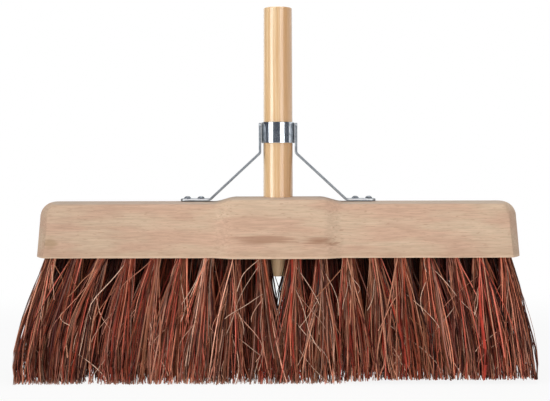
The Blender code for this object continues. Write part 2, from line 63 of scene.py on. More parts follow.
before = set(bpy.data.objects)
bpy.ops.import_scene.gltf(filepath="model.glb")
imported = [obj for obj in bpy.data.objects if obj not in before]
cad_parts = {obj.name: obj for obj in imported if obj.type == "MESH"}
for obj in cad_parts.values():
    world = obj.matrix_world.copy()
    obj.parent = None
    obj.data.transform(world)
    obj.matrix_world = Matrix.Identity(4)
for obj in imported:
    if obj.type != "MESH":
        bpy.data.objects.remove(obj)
CAD_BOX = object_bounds()
STOCK_LOW, STOCK_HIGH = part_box("stock")
HANDLE_LOW, HANDLE_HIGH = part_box("handle")
BAND_LOW, BAND_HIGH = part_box("clamp_band")
BOLT_LOW, BOLT_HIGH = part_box("clamp_bolt")
NUT_LOW, NUT_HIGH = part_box("clamp_nut")
STAY_LOW, STAY_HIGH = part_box("stay_right")

SIDES = (("left", -1), ("right", 1))
COLUMNS_PER_SIDE = 9
ROWS = 4
SCREWS_PER_FOOT = 2
SHARP_ANGLE = math.radians(20)
SHEARED_ANGLE = math.radians(50)
SEAM = 0.00001              # points closer than this are one point
FIBRE_SIDES = 4
FIBRE_RINGS = 8
ROUND_STEPS = 96
SMALL_STEPS = 32
HOLE_STEPS = 16
ARC_STEPS = 8


def srgb(red, green, blue):
    """A colour given as 8-bit screen values, in the linear values that Blender's sockets hold."""
    shares = [value / 255 for value in (red, green, blue)]
    return tuple(share / 12.92 if share <= 0.04045 else ((share + 0.055) / 1.055) ** 2.4 for share in shares)


def length(name, description, default):
    return bpy.props.FloatProperty(
        name=name, description=description, default=default, min=0, precision=5, unit="LENGTH"
    )


def share(name, description, default, most=1.0):
    return bpy.props.FloatProperty(name=name, description=description, default=default, min=0, max=most)


def count(name, description, default):
    return bpy.props.IntProperty(name=name, description=description, default=default, min=0)


def amount(name, description, default):
    return bpy.props.FloatProperty(name=name, description=description, default=default)


def angle(name, description, degrees):
    return bpy.props.FloatProperty(
        name=name, description=description, default=math.radians(degrees), subtype="ANGLE", unit="ROTATION"
    )


def colour(name, description, default):
    return bpy.props.FloatVectorProperty(
        name=name, description=description, default=default, size=3, min=0, max=1, subtype="COLOR"
    )


class StockSettings(bpy.types.PropertyGroup):
    """The wooden stock. Its overall size comes from the frame."""

    depth: length("Wing Depth", "Front to back, away from the saddle", 0.062)
    trim: length("Wing Underside", "Height of the wings' underside above the floor", 0.115)
    rise: length("Saddle Rise", "Height of the saddle above the wings", 0.0042)
    crown: length("Crown", "Fall of the top from its middle to its rounded edges", 0.0015)
    edge: length("Edge Radius", "Long upper edges", 0.005)
    bow: length("End Bow", "How far each end bows out between its corners", 0.013)
    lean: length("End Lean", "How far each end draws in from bottom to top", 0.005)
    corner: length("Corner Radius", "Upper end corners, seen from the front", 0.0148)
    end_zone: length("End Zone", "Length over which the bow dies out", 0.034)
    saddle: length("Saddle Length", "Over its slopes", 0.122)
    crest: length("Saddle Crest", "Length of its full height", 0.080)
    worn_edge: length("Worn Edge", "Rounding of the sawn edges", 0.0006)
    pale: colour("Pale Wood", "Wood between the streaks", srgb(205, 178, 151))
    streak: colour("Streak", "Darker streaks along the grain", srgb(178, 144, 118))
    blush: colour("Blush", "Pinkish patches", srgb(200, 164, 139))
    stain: colour("Stain", "Brown mineral streak on the front", srgb(158, 118, 92))
    knot: colour("Knot", "Pin knot near the left end", srgb(158, 130, 92))
    # Partly dust and partly a painted sheen: grey laid on the faces that look up, as light from above greys
    # them.
    dust_and_sheen: colour("Dust", "Weathered grey on the faces that look up", srgb(194, 180, 164))
    # Partly worn wood and partly a painted highlight along the rounded lower edge.
    wear_and_highlight: colour("Fresh Edge", "Paler wood along the worn lower edge", srgb(228, 198, 168))


class HandleSettings(bpy.types.PropertyGroup):
    """The varnished handle."""

    taper: length("Taper Length", "Of the cone that sits in the stock", 0.056)
    thinning: length("Thinning", "Fall of the radius from the stock to the cut end", 0.0007)
    spigot: length("Spigot Radius", "Of the end under the stock", 0.0073)
    arris: length("Arris", "Chamfer of the cut end", 0.0006)
    clearance: length("Socket Clearance", "Between the handle and its socket", 0.00012)
    pale: colour("Pale Wood", "Wood between the grain lines", srgb(233, 201, 157))
    grain: colour("Grain", "Growth lines along the handle", srgb(216, 176, 126))
    # Partly the bare wood's own colour and partly painted light: made paler to make up for the shade of the
    # stock and the tufts.
    sawn: colour("Bare Tip", "Unvarnished tip under the stock", srgb(250, 212, 166))
    # Painted shade: a darker, browner colour down the right side of the handle, where less lamp light falls.
    right_side_shade: colour("Heart Side", "Browner wood down one side", srgb(205, 156, 108))


class BristleSettings(bpy.types.PropertyGroup):
    """The tufts and their fibres."""

    first: length("First Tuft", "From the handle's axis to the nearest tuft", 0.0162)
    pitch: length("Tuft Pitch", "Along the stock", 0.0244)
    row_pitch: length("Row Pitch", "Front to back", 0.0138)
    tucked: length("Tucked Tuft", "From the handle's axis to the inner tufts beside its socket", 0.0140)
    hole: length("Hole Radius", "Of the outer rows of drilled holes", 0.0052)
    inner_hole: length("Inner Hole Radius", "Of the two inner rows", 0.0068)
    hole_depth: length("Hole Depth", "Of the drilled holes", 0.010)
    sink: length("Sink", "How far up in its hole a fibre is drawn", 0.004)
    close_in: length("Close In", "How far the tufts beside the handle lean in under it", 0.0058)
    left_lean: length("Left Lean", "How far the left end's tufts lean out at their tips", 0.0287)
    right_lean: length("Right Lean", "How far the right end's tufts lean out at their tips", 0.0175)
    lean_reach: length("Lean Reach", "Distance over which the lean grows", 0.085)
    left_belly: length("Left Belly", "How far the fibres of the left end bow out", 0.003)
    right_hollow: length("Right Hollow", "How far the fibres of the right end bow in", 0.003)
    left_reach: length("Left Reach", "From the handle's axis to the left tips", 0.2405)
    right_reach: length("Right Reach", "From the handle's axis to the right tips", 0.2362)
    right_trim: length("Right Trim", "Height of the right half's tips above the floor", 0.0034)
    depth: length("Tip Depth", "Front to back over the tuft middles, at the tips", 0.078)
    width: length("Fibre Width", "Mean width of a fibre", 0.00095)
    scatter: length("Scatter", "How far a fibre's tip lies from its place in the tuft", 0.0100)
    bend: length("Bend", "How far a fibre bows off its line", 0.0040)
    ragged: length("Ragged", "Unevenness of the trim", 0.0011)
    stray_width: length("Stray Width", "Width of a stray fibre", 0.00066)
    stray_reach: length("Stray Reach", "How far a stray fibre's tip lies from its tuft", 0.02)
    fan: share("Fan", "How far a fibre's tip keeps to its place in the hole", 0.8, 4.0)
    contrast: share("Contrast", "How much one fibre is lighter or darker than the next", 0.63)
    # Painted shade: the inner rows, and their roots most, are darkened in colour as the shade deep in the
    # broom would darken them.
    inner_shade: share("Inner Shade", "Brightness of the two inner rows, of that of the outer ones", 0.75)
    root_shade: share("Root Shade", "Brightness of the inner rows at their roots, of that lower down", 0.25)
    fibres: count("Fibres", "In a tuft of the outer rows", 124)
    inner_fibres: count("Inner Fibres", "In an inner tuft", 84)
    strays: count("Strays", "Loose fibres of an outer tuft", 7)
    crossings: count("Crossings", "Dark fibres under the spigot from one inner tuft", 5)
    seed: count("Seed", "Of all random draws", 7)
    black: colour("Black", "Darkest fibres", srgb(56, 22, 12))
    plum: colour("Plum", "Dark purplish fibres", srgb(94, 36, 30))
    brown: colour("Brown", "Most fibres", srgb(134, 65, 43))
    umber: colour("Umber", "Greyish brown fibres", srgb(144, 93, 66))
    russet: colour("Russet", "Red-brown fibres", srgb(158, 71, 49))
    brick: colour("Brick Red", "Dyed red fibres", srgb(166, 52, 38))
    orange: colour("Orange", "Orange fibres", srgb(184, 98, 68))
    # Also laid over the brightest fibres as a painted sheen.
    straw_and_sheen: colour("Straw", "Undyed fibres", srgb(203, 166, 144))


class SteelSettings(bpy.types.PropertyGroup):
    """The stay, its clamp and the screws."""

    strip: length("Strip Thickness", "Of the two stay strips", 0.0022)
    band: length("Band Thickness", "Of the clamp band", 0.0013)
    bend: length("Bend Radius", "Of the strips, on their middle", 0.004)
    foot_bend: length("Foot Bend", "From the handle's axis to the bend at the foot", 0.0650)
    leg: length("Leg Rise", "From the foot's underside to the bend under the tab", 0.0455)
    ear_gap: length("Ear Gap", "Between the ears of the band", 0.004)
    ear_bend: length("Ear Bend", "Inner radius where the band turns into its ears", 0.0012)
    ear_corner: length("Ear Corner", "Radius of the ears' corners", 0.004)
    foot_corner: length("Foot Corner", "Radius of the strips' corners", 0.005)
    arris: length("Arris", "Rounding of the sheared edges", 0.0003)
    bolt: length("Bolt Radius", "Over its thread", 0.0025)
    thread: length("Thread Pitch", "Of the clamp bolt", 0.0008)
    screw_head: length("Screw Head Radius", "Of the wood screws", 0.0034)
    screw_rise: length("Screw Head Height", "Of the wood screws", 0.0022)
    recess: length("Recess Width", "Of the cross in a screw head", 0.0009)
    zinc: colour("Zinc", "Bright plating", srgb(214, 219, 224))
    bloom: colour("Bloom", "Duller patches of the plating", srgb(168, 175, 182))
    dull: colour("Dull Zinc", "Of the two strips", srgb(160, 165, 170))
    dull_bloom: colour("Dull Bloom", "Darker patches of the strips", srgb(134, 139, 145))
    # Painted light: pale zinc stands in for lamp light caught on the feet's front edges and inside the tabs.
    pale: colour("Pale Zinc", "Of the feet's edges and the insides of the tabs", srgb(232, 235, 238))
    dark: colour("Dark Zinc", "Screw heads and bolt", srgb(112, 114, 118))


class StudioSettings(bpy.types.PropertyGroup):
    """Camera, lamps and backdrop."""

    distance: length("Camera Distance", "From the handle's axis", 1.03)
    height: length("Camera Height", "Above the floor", 0.2090)
    offset: length("Camera Offset", "To the left of the handle's axis", 0.0029)
    pitch: angle("Camera Pitch", "Downwards", 2.33)
    roll: angle("Camera Roll", "Clockwise", 0.12)
    lens: amount("Lens", "In millimetres, on a 36 mm sensor", 70.75)
    left_lamp: amount("Left Lamp", "Brightness", 5.6)
    right_lamp: amount("Right Lamp", "Brightness", 3.7)
    top_lamp: amount("Top Lamp", "Brightness", 2.3)
    fill_lamp: amount("Front Fill", "Brightness", 1.4)
    ambient: amount("Ambient", "Light from all round", 0.24)
    shadow: share("Shadow", "Strength of the shadow on the floor", 0.12)
    floor: colour("Floor", "White sweep", (0.9, 0.9, 0.9))


SETTINGS = {
    "stock": StockSettings,
    "handle": HandleSettings,
    "bristles": BristleSettings,
    "steel": SteelSettings,
    "studio": StudioSettings,
}


def settings(name):
    """One of the property groups of the scene."""
    return getattr(bpy.context.scene, f"broom_{name}")


# Shading

def add_node(tree, kind, sockets=None, **options):
    """A node with its options set and its inputs fed."""
    node = tree.nodes.new(kind)
    for name, value in options.items():
        setattr(node, name, value)
    feed(tree, node, sockets or {})
    return node


def feed(tree, node, sockets):
    """Link a node's inputs, or set their values, by name or number. A colour gets its alpha here."""
    for key, value in sockets.items():
        socket = node.inputs[key]
        if isinstance(value, bpy.types.NodeSocket):
            tree.links.new(value, socket)
        elif socket.type == "RGBA":
            socket.default_value = (*value[:3], 1)
        else:
            socket.default_value = value


def math_node(tree, operation, first, second=0.0):
    return add_node(tree, "ShaderNodeMath", {0: first, 1: second}, operation=operation).outputs[0]


def times(tree, *factors):
    """The product of the factors."""
    return functools.reduce(lambda product, factor: math_node(tree, "MULTIPLY", product, factor), factors)


def vector_math(tree, operation, first, second=(0, 0, 0)):
    return add_node(tree, "ShaderNodeVectorMath", {0: first, 1: second}, operation=operation).outputs


def axes(tree, vector):
    """The X, Y and Z of a vector."""
    return add_node(tree, "ShaderNodeSeparateXYZ", {0: vector}).outputs


def mix_colour(tree, factor, first, second, blend="MIX"):
    sockets = {0: factor, 6: first, 7: second}
    return add_node(tree, "ShaderNodeMix", sockets, data_type="RGBA", blend_type=blend).outputs[2]


def laid_over(tree, base, colour, mask, strength):
    """A colour laid over a base where a mask shows it, at a strength."""
    return mix_colour(tree, times(tree, mask, strength), base, colour)


def toned(tree, base, factor):
    """A base colour made lighter or darker by a factor."""
    return mix_colour(tree, 1.0, base, factor, "MULTIPLY")


def spread(tree, value, low, high, to_low=0.0, to_high=1.0):
    """A value from low to high, eased to another span and held at its ends."""
    node = add_node(
        tree, "ShaderNodeMapRange",
        {"Value": value, "From Min": low, "From Max": high, "To Min": to_low, "To Max": to_high},
        interpolation_type="SMOOTHSTEP",
    )
    return node.outputs["Result"]


def noise(tree, vector, feature, detail, roughness, distortion=0.0):
    """Cloudy noise whose features have the given size along X, Y and Z."""
    return add_node(tree, "ShaderNodeTexNoise", {
        "Vector": vector_math(tree, "DIVIDE", vector, feature)["Vector"],
        "Scale": 1.0, "Detail": detail, "Roughness": roughness, "Distortion": distortion,
    }).outputs[0]


def coordinates(tree, kind):
    """A place or direction in the piece's own space, such as Object or Normal."""
    return add_node(tree, "ShaderNodeTexCoord").outputs[kind]


def ramp(tree, value, stops):
    """A colour ramp from (place, colour) stops."""
    node = add_node(tree, "ShaderNodeValToRGB", {0: value})
    elements = node.color_ramp.elements
    while len(elements) < len(stops):
        elements.new(1.0)
    for element, (place, shade) in zip(elements, stops):
        element.position = place
        element.color = (*shade, 1)
    return node.outputs["Color"]


def spot(tree, vector, centre, radii, ragged):
    """A soft round or long patch: 1 at its centre and 0 at its rim, ragged by a noise value."""
    away = vector_math(tree, "SUBTRACT", vector, centre)["Vector"]
    reach = vector_math(tree, "LENGTH", vector_math(tree, "DIVIDE", away, radii)["Vector"])["Value"]
    return spread(tree, math_node(tree, "ADD", reach, ragged), 1.0, 0.35)


def bump(tree, height, strength, distance):
    sockets = {"Height": height, "Strength": strength, "Distance": distance}
    return add_node(tree, "ShaderNodeBump", sockets).outputs["Normal"]


def new_material(name):
    """A new material, its node tree and its Principled shader."""
    material = bpy.data.materials.new(name)
    material.use_nodes = True
    tree = material.node_tree
    return material, tree, tree.nodes["Principled BSDF"]


def new_group(name, inputs, outputs):
    """A shader node group with sockets of the named types, its inner source and its output node."""
    group = bpy.data.node_groups.new(name, "ShaderNodeTree")
    for way, sockets in (("INPUT", inputs), ("OUTPUT", outputs)):
        for label, kind in sockets.items():
            group.interface.new_socket(name=label, in_out=way, socket_type=f"NodeSocket{kind}")
    return group, group.nodes.new("NodeGroupInput").outputs, group.nodes.new("NodeGroupOutput")


def use_group(tree, group, sockets):
    return add_node(tree, "ShaderNodeGroup", sockets, node_tree=group).outputs


def grain_group():
    """Long grain of sawn or turned wood: broad streaks, fine fibres and short open pores."""
    if "Wood Grain" in bpy.data.node_groups:
        return bpy.data.node_groups["Wood Grain"]
    group, source, outer = new_group(
        "Wood Grain",
        {"Vector": "Vector", "Streak Size": "Vector", "Fibre Size": "Vector", "Pore Size": "Vector"},
        {"Streaks": "Float", "Fibres": "Float", "Pores": "Float", "Height": "Float"},
    )
    streaks = noise(group, source["Vector"], source["Streak Size"], 3, 0.55, 0.4)
    fibres = noise(group, source["Vector"], source["Fibre Size"], 3, 0.6)
    pores = spread(group, noise(group, source["Vector"], source["Pore Size"], 1, 0.4), 0.62, 0.72)
    feed(group, outer, {
        "Streaks": spread(group, streaks, 0.36, 0.64),
        "Fibres": fibres,
        "Pores": pores,
        "Height": math_node(group, "SUBTRACT", fibres, pores),
    })
    return group


def grain_in(tree, place, streak, fibre, pore):
    """The wood grain with streaks, fibres and pores of the given sizes."""
    sockets = {"Vector": place, "Streak Size": streak, "Fibre Size": fibre, "Pore Size": pore}
    return use_group(tree, grain_group(), sockets)


MARK_DEPTH = 0.02           # how deep in the wood its painted marks go


def stock_material(values):
    """Sawn pale hardwood, unvarnished: pinkish streaks, open pores, a brown streak and a pin knot."""
    material, tree, shader = new_material("sawn_stock_wood")
    place = coordinates(tree, "Object")
    parts = axes(tree, place)
    grain = grain_in(tree, place, (0.075, 0.0045, 0.0034), (0.016, 0.0014, 0.0013), (0.007, 0.001, 0.00085))
    patches = noise(tree, place, (0.075, 0.03, 0.014), 2, 0.5)
    wood = mix_colour(tree, spread(tree, patches, 0.38, 0.62), values.pale, values.blush)
    wood = laid_over(tree, wood, values.streak, grain["Streaks"], 0.26)
    wood = toned(tree, wood, spread(tree, grain["Fibres"], 0.3, 0.7, 0.9, 1.07))
    wood = laid_over(tree, wood, values.streak, grain["Pores"], 0.8)
    ragged = spread(tree, grain["Streaks"], 0.0, 1.0, -0.28, 0.28)
    for x, z, wide, high, shade, strength in (
        (-0.012, 0.1320, 0.041, 0.0044, values.stain, 0.75),
        (0.038, 0.1310, 0.022, 0.0056, values.stain, 0.95),
        (-0.2115, 0.1297, 0.0078, 0.0072, values.knot, 0.55),
    ):
        mark = spot(tree, place, (x, STOCK_LOW.y, z), (wide, MARK_DEPTH, high), ragged)
        wood = laid_over(tree, wood, shade, mark, strength)
    wavy = math_node(tree, "ADD", parts["Z"], spread(tree, patches, 0.3, 0.7, -0.001, 0.001))
    # Painted shade: the lower front darkens towards the streak colour, standing in for the shade and brown
    # light of the tufts below.
    low = spread(tree, wavy, values.trim + 0.003, values.trim + 0.012, 0.34, 0.0)
    wood = mix_colour(tree, low, wood, values.streak)
    # Worn wood and a painted highlight: a paler line along the lower edge.
    worn = spread(tree, wavy, values.trim + 0.0022, values.trim + 0.0006)
    wood = laid_over(tree, wood, values.wear_and_highlight, worn, 0.4)
    # Dust and painted sheen on the faces that look up.
    upwards = axes(tree, coordinates(tree, "Normal"))["Z"]
    wood = laid_over(tree, wood, values.dust_and_sheen, spread(tree, upwards, 0.93, 1.0), 0.5)
    feed(tree, shader, {
        "Base Color": toned(tree, wood, spread(tree, parts["X"], -0.2, -0.03, 0.9, 1.0)),
        "Roughness": spread(tree, grain["Fibres"], 0.2, 0.8, 0.72, 0.56),
        "Normal": bump(tree, grain["Height"], 0.35, 0.0004),
    })
    return material


def handle_material(values):
    """Clear gloss varnish over straight-grained pale wood."""
    material, tree, shader = new_material("varnished_handle_wood")
    place = coordinates(tree, "Object")
    parts = axes(tree, place)
    grain = grain_in(tree, place, (0.0034, 0.0034, 0.16), (0.0008, 0.0008, 0.03), (0.0005, 0.0005, 0.007))
    wood = mix_colour(tree, grain["Streaks"], values.pale, values.grain)
    wood = toned(tree, wood, spread(tree, grain["Fibres"], 0.3, 0.7, 0.92, 1.05))
    wood = laid_over(tree, wood, values.grain, grain["Pores"], 0.25)
    # Painted shade down the right side, its edge ragged along the grain.
    ragged = math_node(tree, "ADD", parts["X"], spread(tree, grain["Streaks"], 0.0, 1.0, -0.0015, 0.0015))
    wood = laid_over(tree, wood, values.right_side_shade, spread(tree, ragged, -0.0085, 0.0085), 0.75)
    # Painted light: the handle's left edge is made lighter, as if lit from the left.
    wood = toned(tree, wood, spread(tree, parts["X"], -0.0125, -0.0065, 1.09, 1.0))
    # The bare tip has no coat. Its colour also carries painted light against the shade of the stock and the
    # tufts.
    bare = spread(tree, parts["Z"], STOCK_LOW.z, STOCK_LOW.z - values.taper / 10)
    feed(tree, shader, {
        "Base Color": mix_colour(tree, bare, wood, values.sawn),
        "Roughness": spread(tree, grain["Fibres"], 0.2, 0.8, 0.5, 0.38),
        "Coat Weight": math_node(tree, "SUBTRACT", 1.0, bare),
        "Coat Roughness": 0.09,
        "Normal": bump(tree, grain["Height"], 0.12, 0.0003),
    })
    return material


def fibre_material(values):
    """Stiff plant fibre in mixed dyed tones. Each fibre carries its own tone and a shade: a random brightness
    times a painted shade.
    """
    material, tree, shader = new_material("bass_fibre")
    tone, shade = (
        add_node(tree, "ShaderNodeAttribute", attribute_name=name).outputs["Fac"]
        for name in ("tone", "shade")
    )
    fibre = ramp(tree, tone, (
        (0.0, values.black), (0.16, values.plum), (0.32, values.brown), (0.46, values.umber),
        (0.6, values.russet), (0.74, values.brick), (0.88, values.orange), (1.0, values.straw_and_sheen),
    ))
    place = coordinates(tree, "Object")
    mottle = noise(tree, place, (0.0016, 0.0016, 0.012), 3, 0.6)
    fibre = toned(tree, fibre, spread(tree, mottle, 0.25, 0.75, 0.7, 1.3))
    # Painted sheen: the brightest fibres turn towards the straw colour.
    fibre = mix_colour(tree, spread(tree, shade, 0.9, BRIGHTEST, 0.0, 0.2), fibre, values.straw_and_sheen)
    cut_end = spread(tree, axes(tree, place)["Z"], 0.006, 0.0)
    feed(tree, shader, {
        "Base Color": laid_over(tree, toned(tree, fibre, shade), values.straw_and_sheen, cut_end, 0.35),
        "Roughness": spread(tree, mottle, 0.3, 0.7, 0.38, 0.6),
        "Specular IOR Level": 0.18,
    })
    return material


def plating_group():
    """Zinc plating: cloudy bloom, and fine scuffs that dull it."""
    if "Zinc Plating" in bpy.data.node_groups:
        return bpy.data.node_groups["Zinc Plating"]
    group, source, outer = new_group(
        "Zinc Plating",
        {"Vector": "Vector", "Bright": "Color", "Bloom": "Color", "Gloss": "Float", "Scuff": "Float"},
        {"Color": "Color", "Roughness": "Float", "Height": "Float"},
    )
    clouds = noise(group, source["Vector"], (0.006, 0.006, 0.004), 4, 0.6)
    scuffs = noise(group, source["Vector"], (0.0012, 0.0012, 0.00022), 2, 0.6)
    bloom = spread(group, clouds, 0.42, 0.68)
    scuffed = times(group, spread(group, scuffs, 0.5, 0.75), source["Scuff"])
    rough = math_node(group, "ADD", source["Gloss"], scuffed)
    feed(group, outer, {
        "Color": mix_colour(group, bloom, source["Bright"], source["Bloom"]),
        "Roughness": math_node(group, "ADD", rough, times(group, bloom, 0.08)),
        "Height": math_node(group, "ADD", clouds, scuffs),
    })
    return group


def zinc_material(name, bright, bloom, gloss, scuff):
    """Zinc plating in two shades. It is made once, and then found again by its name."""
    if name in bpy.data.materials:
        return bpy.data.materials[name]
    material, tree, shader = new_material(name)
    plating = use_group(tree, plating_group(), {
        "Vector": coordinates(tree, "Object"),
        "Bright": bright, "Bloom": bloom, "Gloss": gloss, "Scuff": scuff,
    })
    feed(tree, shader, {
        "Base Color": plating["Color"],
        "Roughness": plating["Roughness"],
        "Metallic": 1.0,
        "Normal": bump(tree, plating["Height"], 0.06, 0.0002),
    })
    return material


def bright_zinc(values):
    return zinc_material("bright_zinc", values.zinc, values.bloom, 0.1, 0.12)


def strip_zinc(values):
    """Dull plating with painted light: pale on the feet's sheared front edges and inside the tabs, where they
    face the band.
    """
    material = zinc_material("strip_zinc", values.dull, values.dull_bloom, 0.36, 0.12)
    tree = material.node_tree
    shader = tree.nodes["Principled BSDF"]
    plating = shader.inputs["Base Color"].links[0].from_socket
    parts = axes(tree, coordinates(tree, "Object"))
    facing = axes(tree, coordinates(tree, "Normal"))
    # Painted light inside the tabs, on the faces that turn towards the handle.
    inwards = times(tree, facing["X"], math_node(tree, "SIGN", parts["X"]))
    apart = math_node(tree, "ABSOLUTE", parts["X"])
    foot_edge_glint = times(
        tree,
        spread(tree, apart, values.foot_bend - 0.001, values.foot_bend + 0.003),
        spread(tree, parts["Z"], STAY_LOW.z + values.strip * 0.3, STAY_LOW.z + values.strip * 0.65),
        spread(tree, math_node(tree, "ABSOLUTE", facing["Y"]), 0.7, 1.0),
    )
    # Where painted light shows, the zinc is pale and less metallic.
    pale = math_node(tree, "MAXIMUM", spread(tree, inwards, -0.9, -1.0), foot_edge_glint)
    feed(tree, shader, {
        "Base Color": mix_colour(tree, pale, plating, values.pale),
        "Metallic": spread(tree, pale, 0.0, 1.0, 0.85, 0.25),
    })
    return material


def dark_zinc(values):
    return zinc_material("dark_zinc", values.dark, values.bloom, 0.24, 0.3)


# Modelling

def object_from(bm, name):
    """An object at the origin from a bmesh, which it uses up."""
    mesh = bpy.data.meshes.new(name)
    bm.to_mesh(mesh)
    bm.free()
    item = bpy.data.objects.new(name, mesh)
    bpy.context.scene.collection.objects.link(item)
    return item


def piece_from(bm, name, material, body, slot, *nodes):
    """A finished piece that rides on a body and stands for its nodes."""
    bmesh.ops.remove_doubles(bm, verts=bm.verts, dist=SEAM)
    bmesh.ops.recalc_face_normals(bm, faces=bm.faces)
    piece = object_from(bm, name)
    piece.data.materials.append(material)
    shade_round(piece.data)
    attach(piece, body)
    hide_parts(*nodes)
    return piece


def steel_piece(bm, name, material, node):
    return piece_from(bm, name, material, "head", "zinc_steel", node)


def shade_round(mesh):
    mesh.shade_smooth()
    mesh.set_sharp_from_angle(angle=SHARP_ANGLE)


def baked(piece, *helpers):
    """The piece with its modifiers applied, and the objects that they read removed."""
    shape = piece.evaluated_get(bpy.context.evaluated_depsgraph_get())
    mesh = bpy.data.meshes.new_from_object(shape)
    piece.modifiers.clear()
    old, piece.data = piece.data, mesh
    bpy.data.meshes.remove(old)
    for helper in helpers:
        bpy.data.objects.remove(helper)
    shade_round(piece.data)
    return piece


def helper_from(bm, name):
    """A helper object from a bmesh, to be cut out of a piece."""
    bmesh.ops.recalc_face_normals(bm, faces=bm.faces)
    return object_from(bm, name)


def carved(piece, *helpers):
    """The piece with the helpers cut out of it."""
    for helper in helpers:
        step = piece.modifiers.new(helper.name, "BOOLEAN")
        step.object = helper
        step.operation = "DIFFERENCE"
        step.solver = "EXACT"
    return baked(piece, *helpers)


def soften(piece, width, angle_limit):
    """A bevel along all edges sharper than the angle."""
    step = piece.modifiers.new("soft edges", "BEVEL")
    step.width = width
    step.segments = 2
    step.profile = 0.5
    step.limit_method = "ANGLE"
    step.angle_limit = angle_limit


def put_in_order(bm):
    """Sort the edges and faces by their points, because spin and extrude order them anew on each run."""
    bm.verts.index_update()
    for items in (bm.edges, bm.faces):
        ranked = sorted(items, key=lambda item: sorted(vert.index for vert in item.verts))
        ranks = {item: rank for rank, item in enumerate(ranked)}
        items.sort(key=ranks.get)


def spin_profile(bm, profile, steps):
    """A solid of revolution round Z from (radius, height) points."""
    line = [bm.verts.new((radius, 0, height)) for radius, height in profile]
    edges = [bm.edges.new(pair) for pair in zip(line, line[1:])]
    bmesh.ops.spin(
        bm, geom=line + edges, axis=(0, 0, 1), cent=(0, 0, 0), angle=math.tau, steps=steps, use_merge=True
    )
    bmesh.ops.remove_doubles(bm, verts=bm.verts, dist=SEAM)
    put_in_order(bm)


def arc(centre, radius, start, end, steps=ARC_STEPS):
    turns = [start + (end - start) * step / steps for step in range(steps + 1)]
    return [(centre[0] + radius * math.cos(turn), centre[1] + radius * math.sin(turn)) for turn in turns]


def rounded_path(corners, radius):
    """A line through the corners, each inner corner replaced by an arc of the radius."""
    path = [corners[0]]
    for before, corner, after in zip(corners, corners[1:], corners[2:]):
        arriving = math.atan2(corner[1] - before[1], corner[0] - before[0])
        leaving = math.atan2(after[1] - corner[1], after[0] - corner[0])
        turn = math.remainder(leaving - arriving, math.tau)
        side = math.copysign(math.pi / 2, turn)
        setback = radius * math.tan(abs(turn) / 2)
        start = (corner[0] - setback * math.cos(arriving), corner[1] - setback * math.sin(arriving))
        inwards = arriving + side
        centre = (start[0] + radius * math.cos(inwards), start[1] + radius * math.sin(inwards))
        path += arc(centre, radius, arriving - side, arriving - side + turn)
    return path + [corners[-1]]


def strip_sheet(path, width, corner):
    """A sheet on edge along a path in XY, its width along Z and its four corners rounded."""
    bm = bmesh.new()
    line = [bm.verts.new((x, y, -width / 2)) for x, y in path]
    edges = [bm.edges.new(pair) for pair in zip(line, line[1:])]
    raised = bmesh.ops.extrude_edge_only(bm, edges=edges)["geom"]
    upper = [item for item in raised if isinstance(item, bmesh.types.BMVert)]
    bmesh.ops.translate(bm, vec=(0, 0, width), verts=upper)
    corners = [vert for vert in bm.verts if len(vert.link_edges) == 2]
    bmesh.ops.bevel(
        bm, geom=corners, offset=corner, segments=ARC_STEPS, profile=0.5, affect="VERTICES", material=-1
    )
    return bm


def thickened(piece, thickness, arris):
    """Give a sheet piece its thickness and soften its sheared edges."""
    solid = piece.modifiers.new("thickness", "SOLIDIFY")
    solid.thickness = thickness
    solid.offset = 0
    solid.use_even_offset = True
    soften(piece, arris, SHEARED_ANGLE)
    return baked(piece)


# Stock

def saddle_share(x, values):
    """How much of the saddle a place along the stock has: 1 on its crest and 0 at the wings."""
    crest, foot = values.crest / 2, values.saddle / 2
    along = min(max((foot - abs(x)) / (foot - crest), 0), 1)
    return along * along * (3 - 2 * along)


def stock_stations(values):
    """Places along half of the stock's top, each with the fall of the rounded corner."""
    crest, foot = values.crest / 2, values.saddle / 2
    height = STOCK_HIGH.z - values.rise - values.trim
    upper = STOCK_HIGH.x - values.lean * (1 - values.corner / height)
    corner = upper - values.corner
    fine = ARC_STEPS * 2
    places = [(crest * step / ARC_STEPS, 0) for step in range(ARC_STEPS)]
    places += [(crest + (foot - crest) * step / fine, 0) for step in range(fine + 1)]
    places += [(foot + (corner - foot) * step / fine, 0) for step in range(1, fine)]
    for step in range(fine + 1):
        turn = math.pi / 2 * step / fine
        places.append((corner + values.corner * math.sin(turn), values.corner * (1 - math.cos(turn))))
    return places, upper


def stock_crossings(values):
    """Places across half of the stock's top: a share of its crowned middle or a distance in from its side."""
    shares = [step / ARC_STEPS for step in range(ARC_STEPS)]
    places = [("crown", place, values.crown * place ** 2) for place in shares]
    for step in range(ARC_STEPS + 1):
        turn = math.pi / 2 * step / ARC_STEPS
        fall = values.crown + values.edge * (1 - math.cos(turn))
        places.append(("edge", values.edge * (1 - math.sin(turn)), fall))
    return places


def mirrored(places):
    return [(-1, place) for place in reversed(places[1:])] + [(1, place) for place in places]


def stock_point(station, crossing, is_top, upper, values):
    end_side, (reach, corner_fall) = station
    depth_side, (kind, place, edge_fall) = crossing
    lift = saddle_share(reach, values)
    half_depth = values.depth / 2 + (STOCK_HIGH.y - values.depth / 2) * lift
    y = half_depth - place if kind == "edge" else (half_depth - values.edge) * place
    if is_top:
        z = STOCK_HIGH.z - values.rise * (1 - lift) - corner_fall - edge_fall
        along = reach
    else:
        z = values.trim - (values.trim - STOCK_LOW.z) * lift
        along = reach * STOCK_HIGH.x / upper
    bowed = min(max((reach - STOCK_HIGH.x + values.end_zone) / values.end_zone, 0), 1)
    along -= values.bow * bowed * (y / (values.depth / 2)) ** 2
    return (end_side * along, depth_side * y, z)


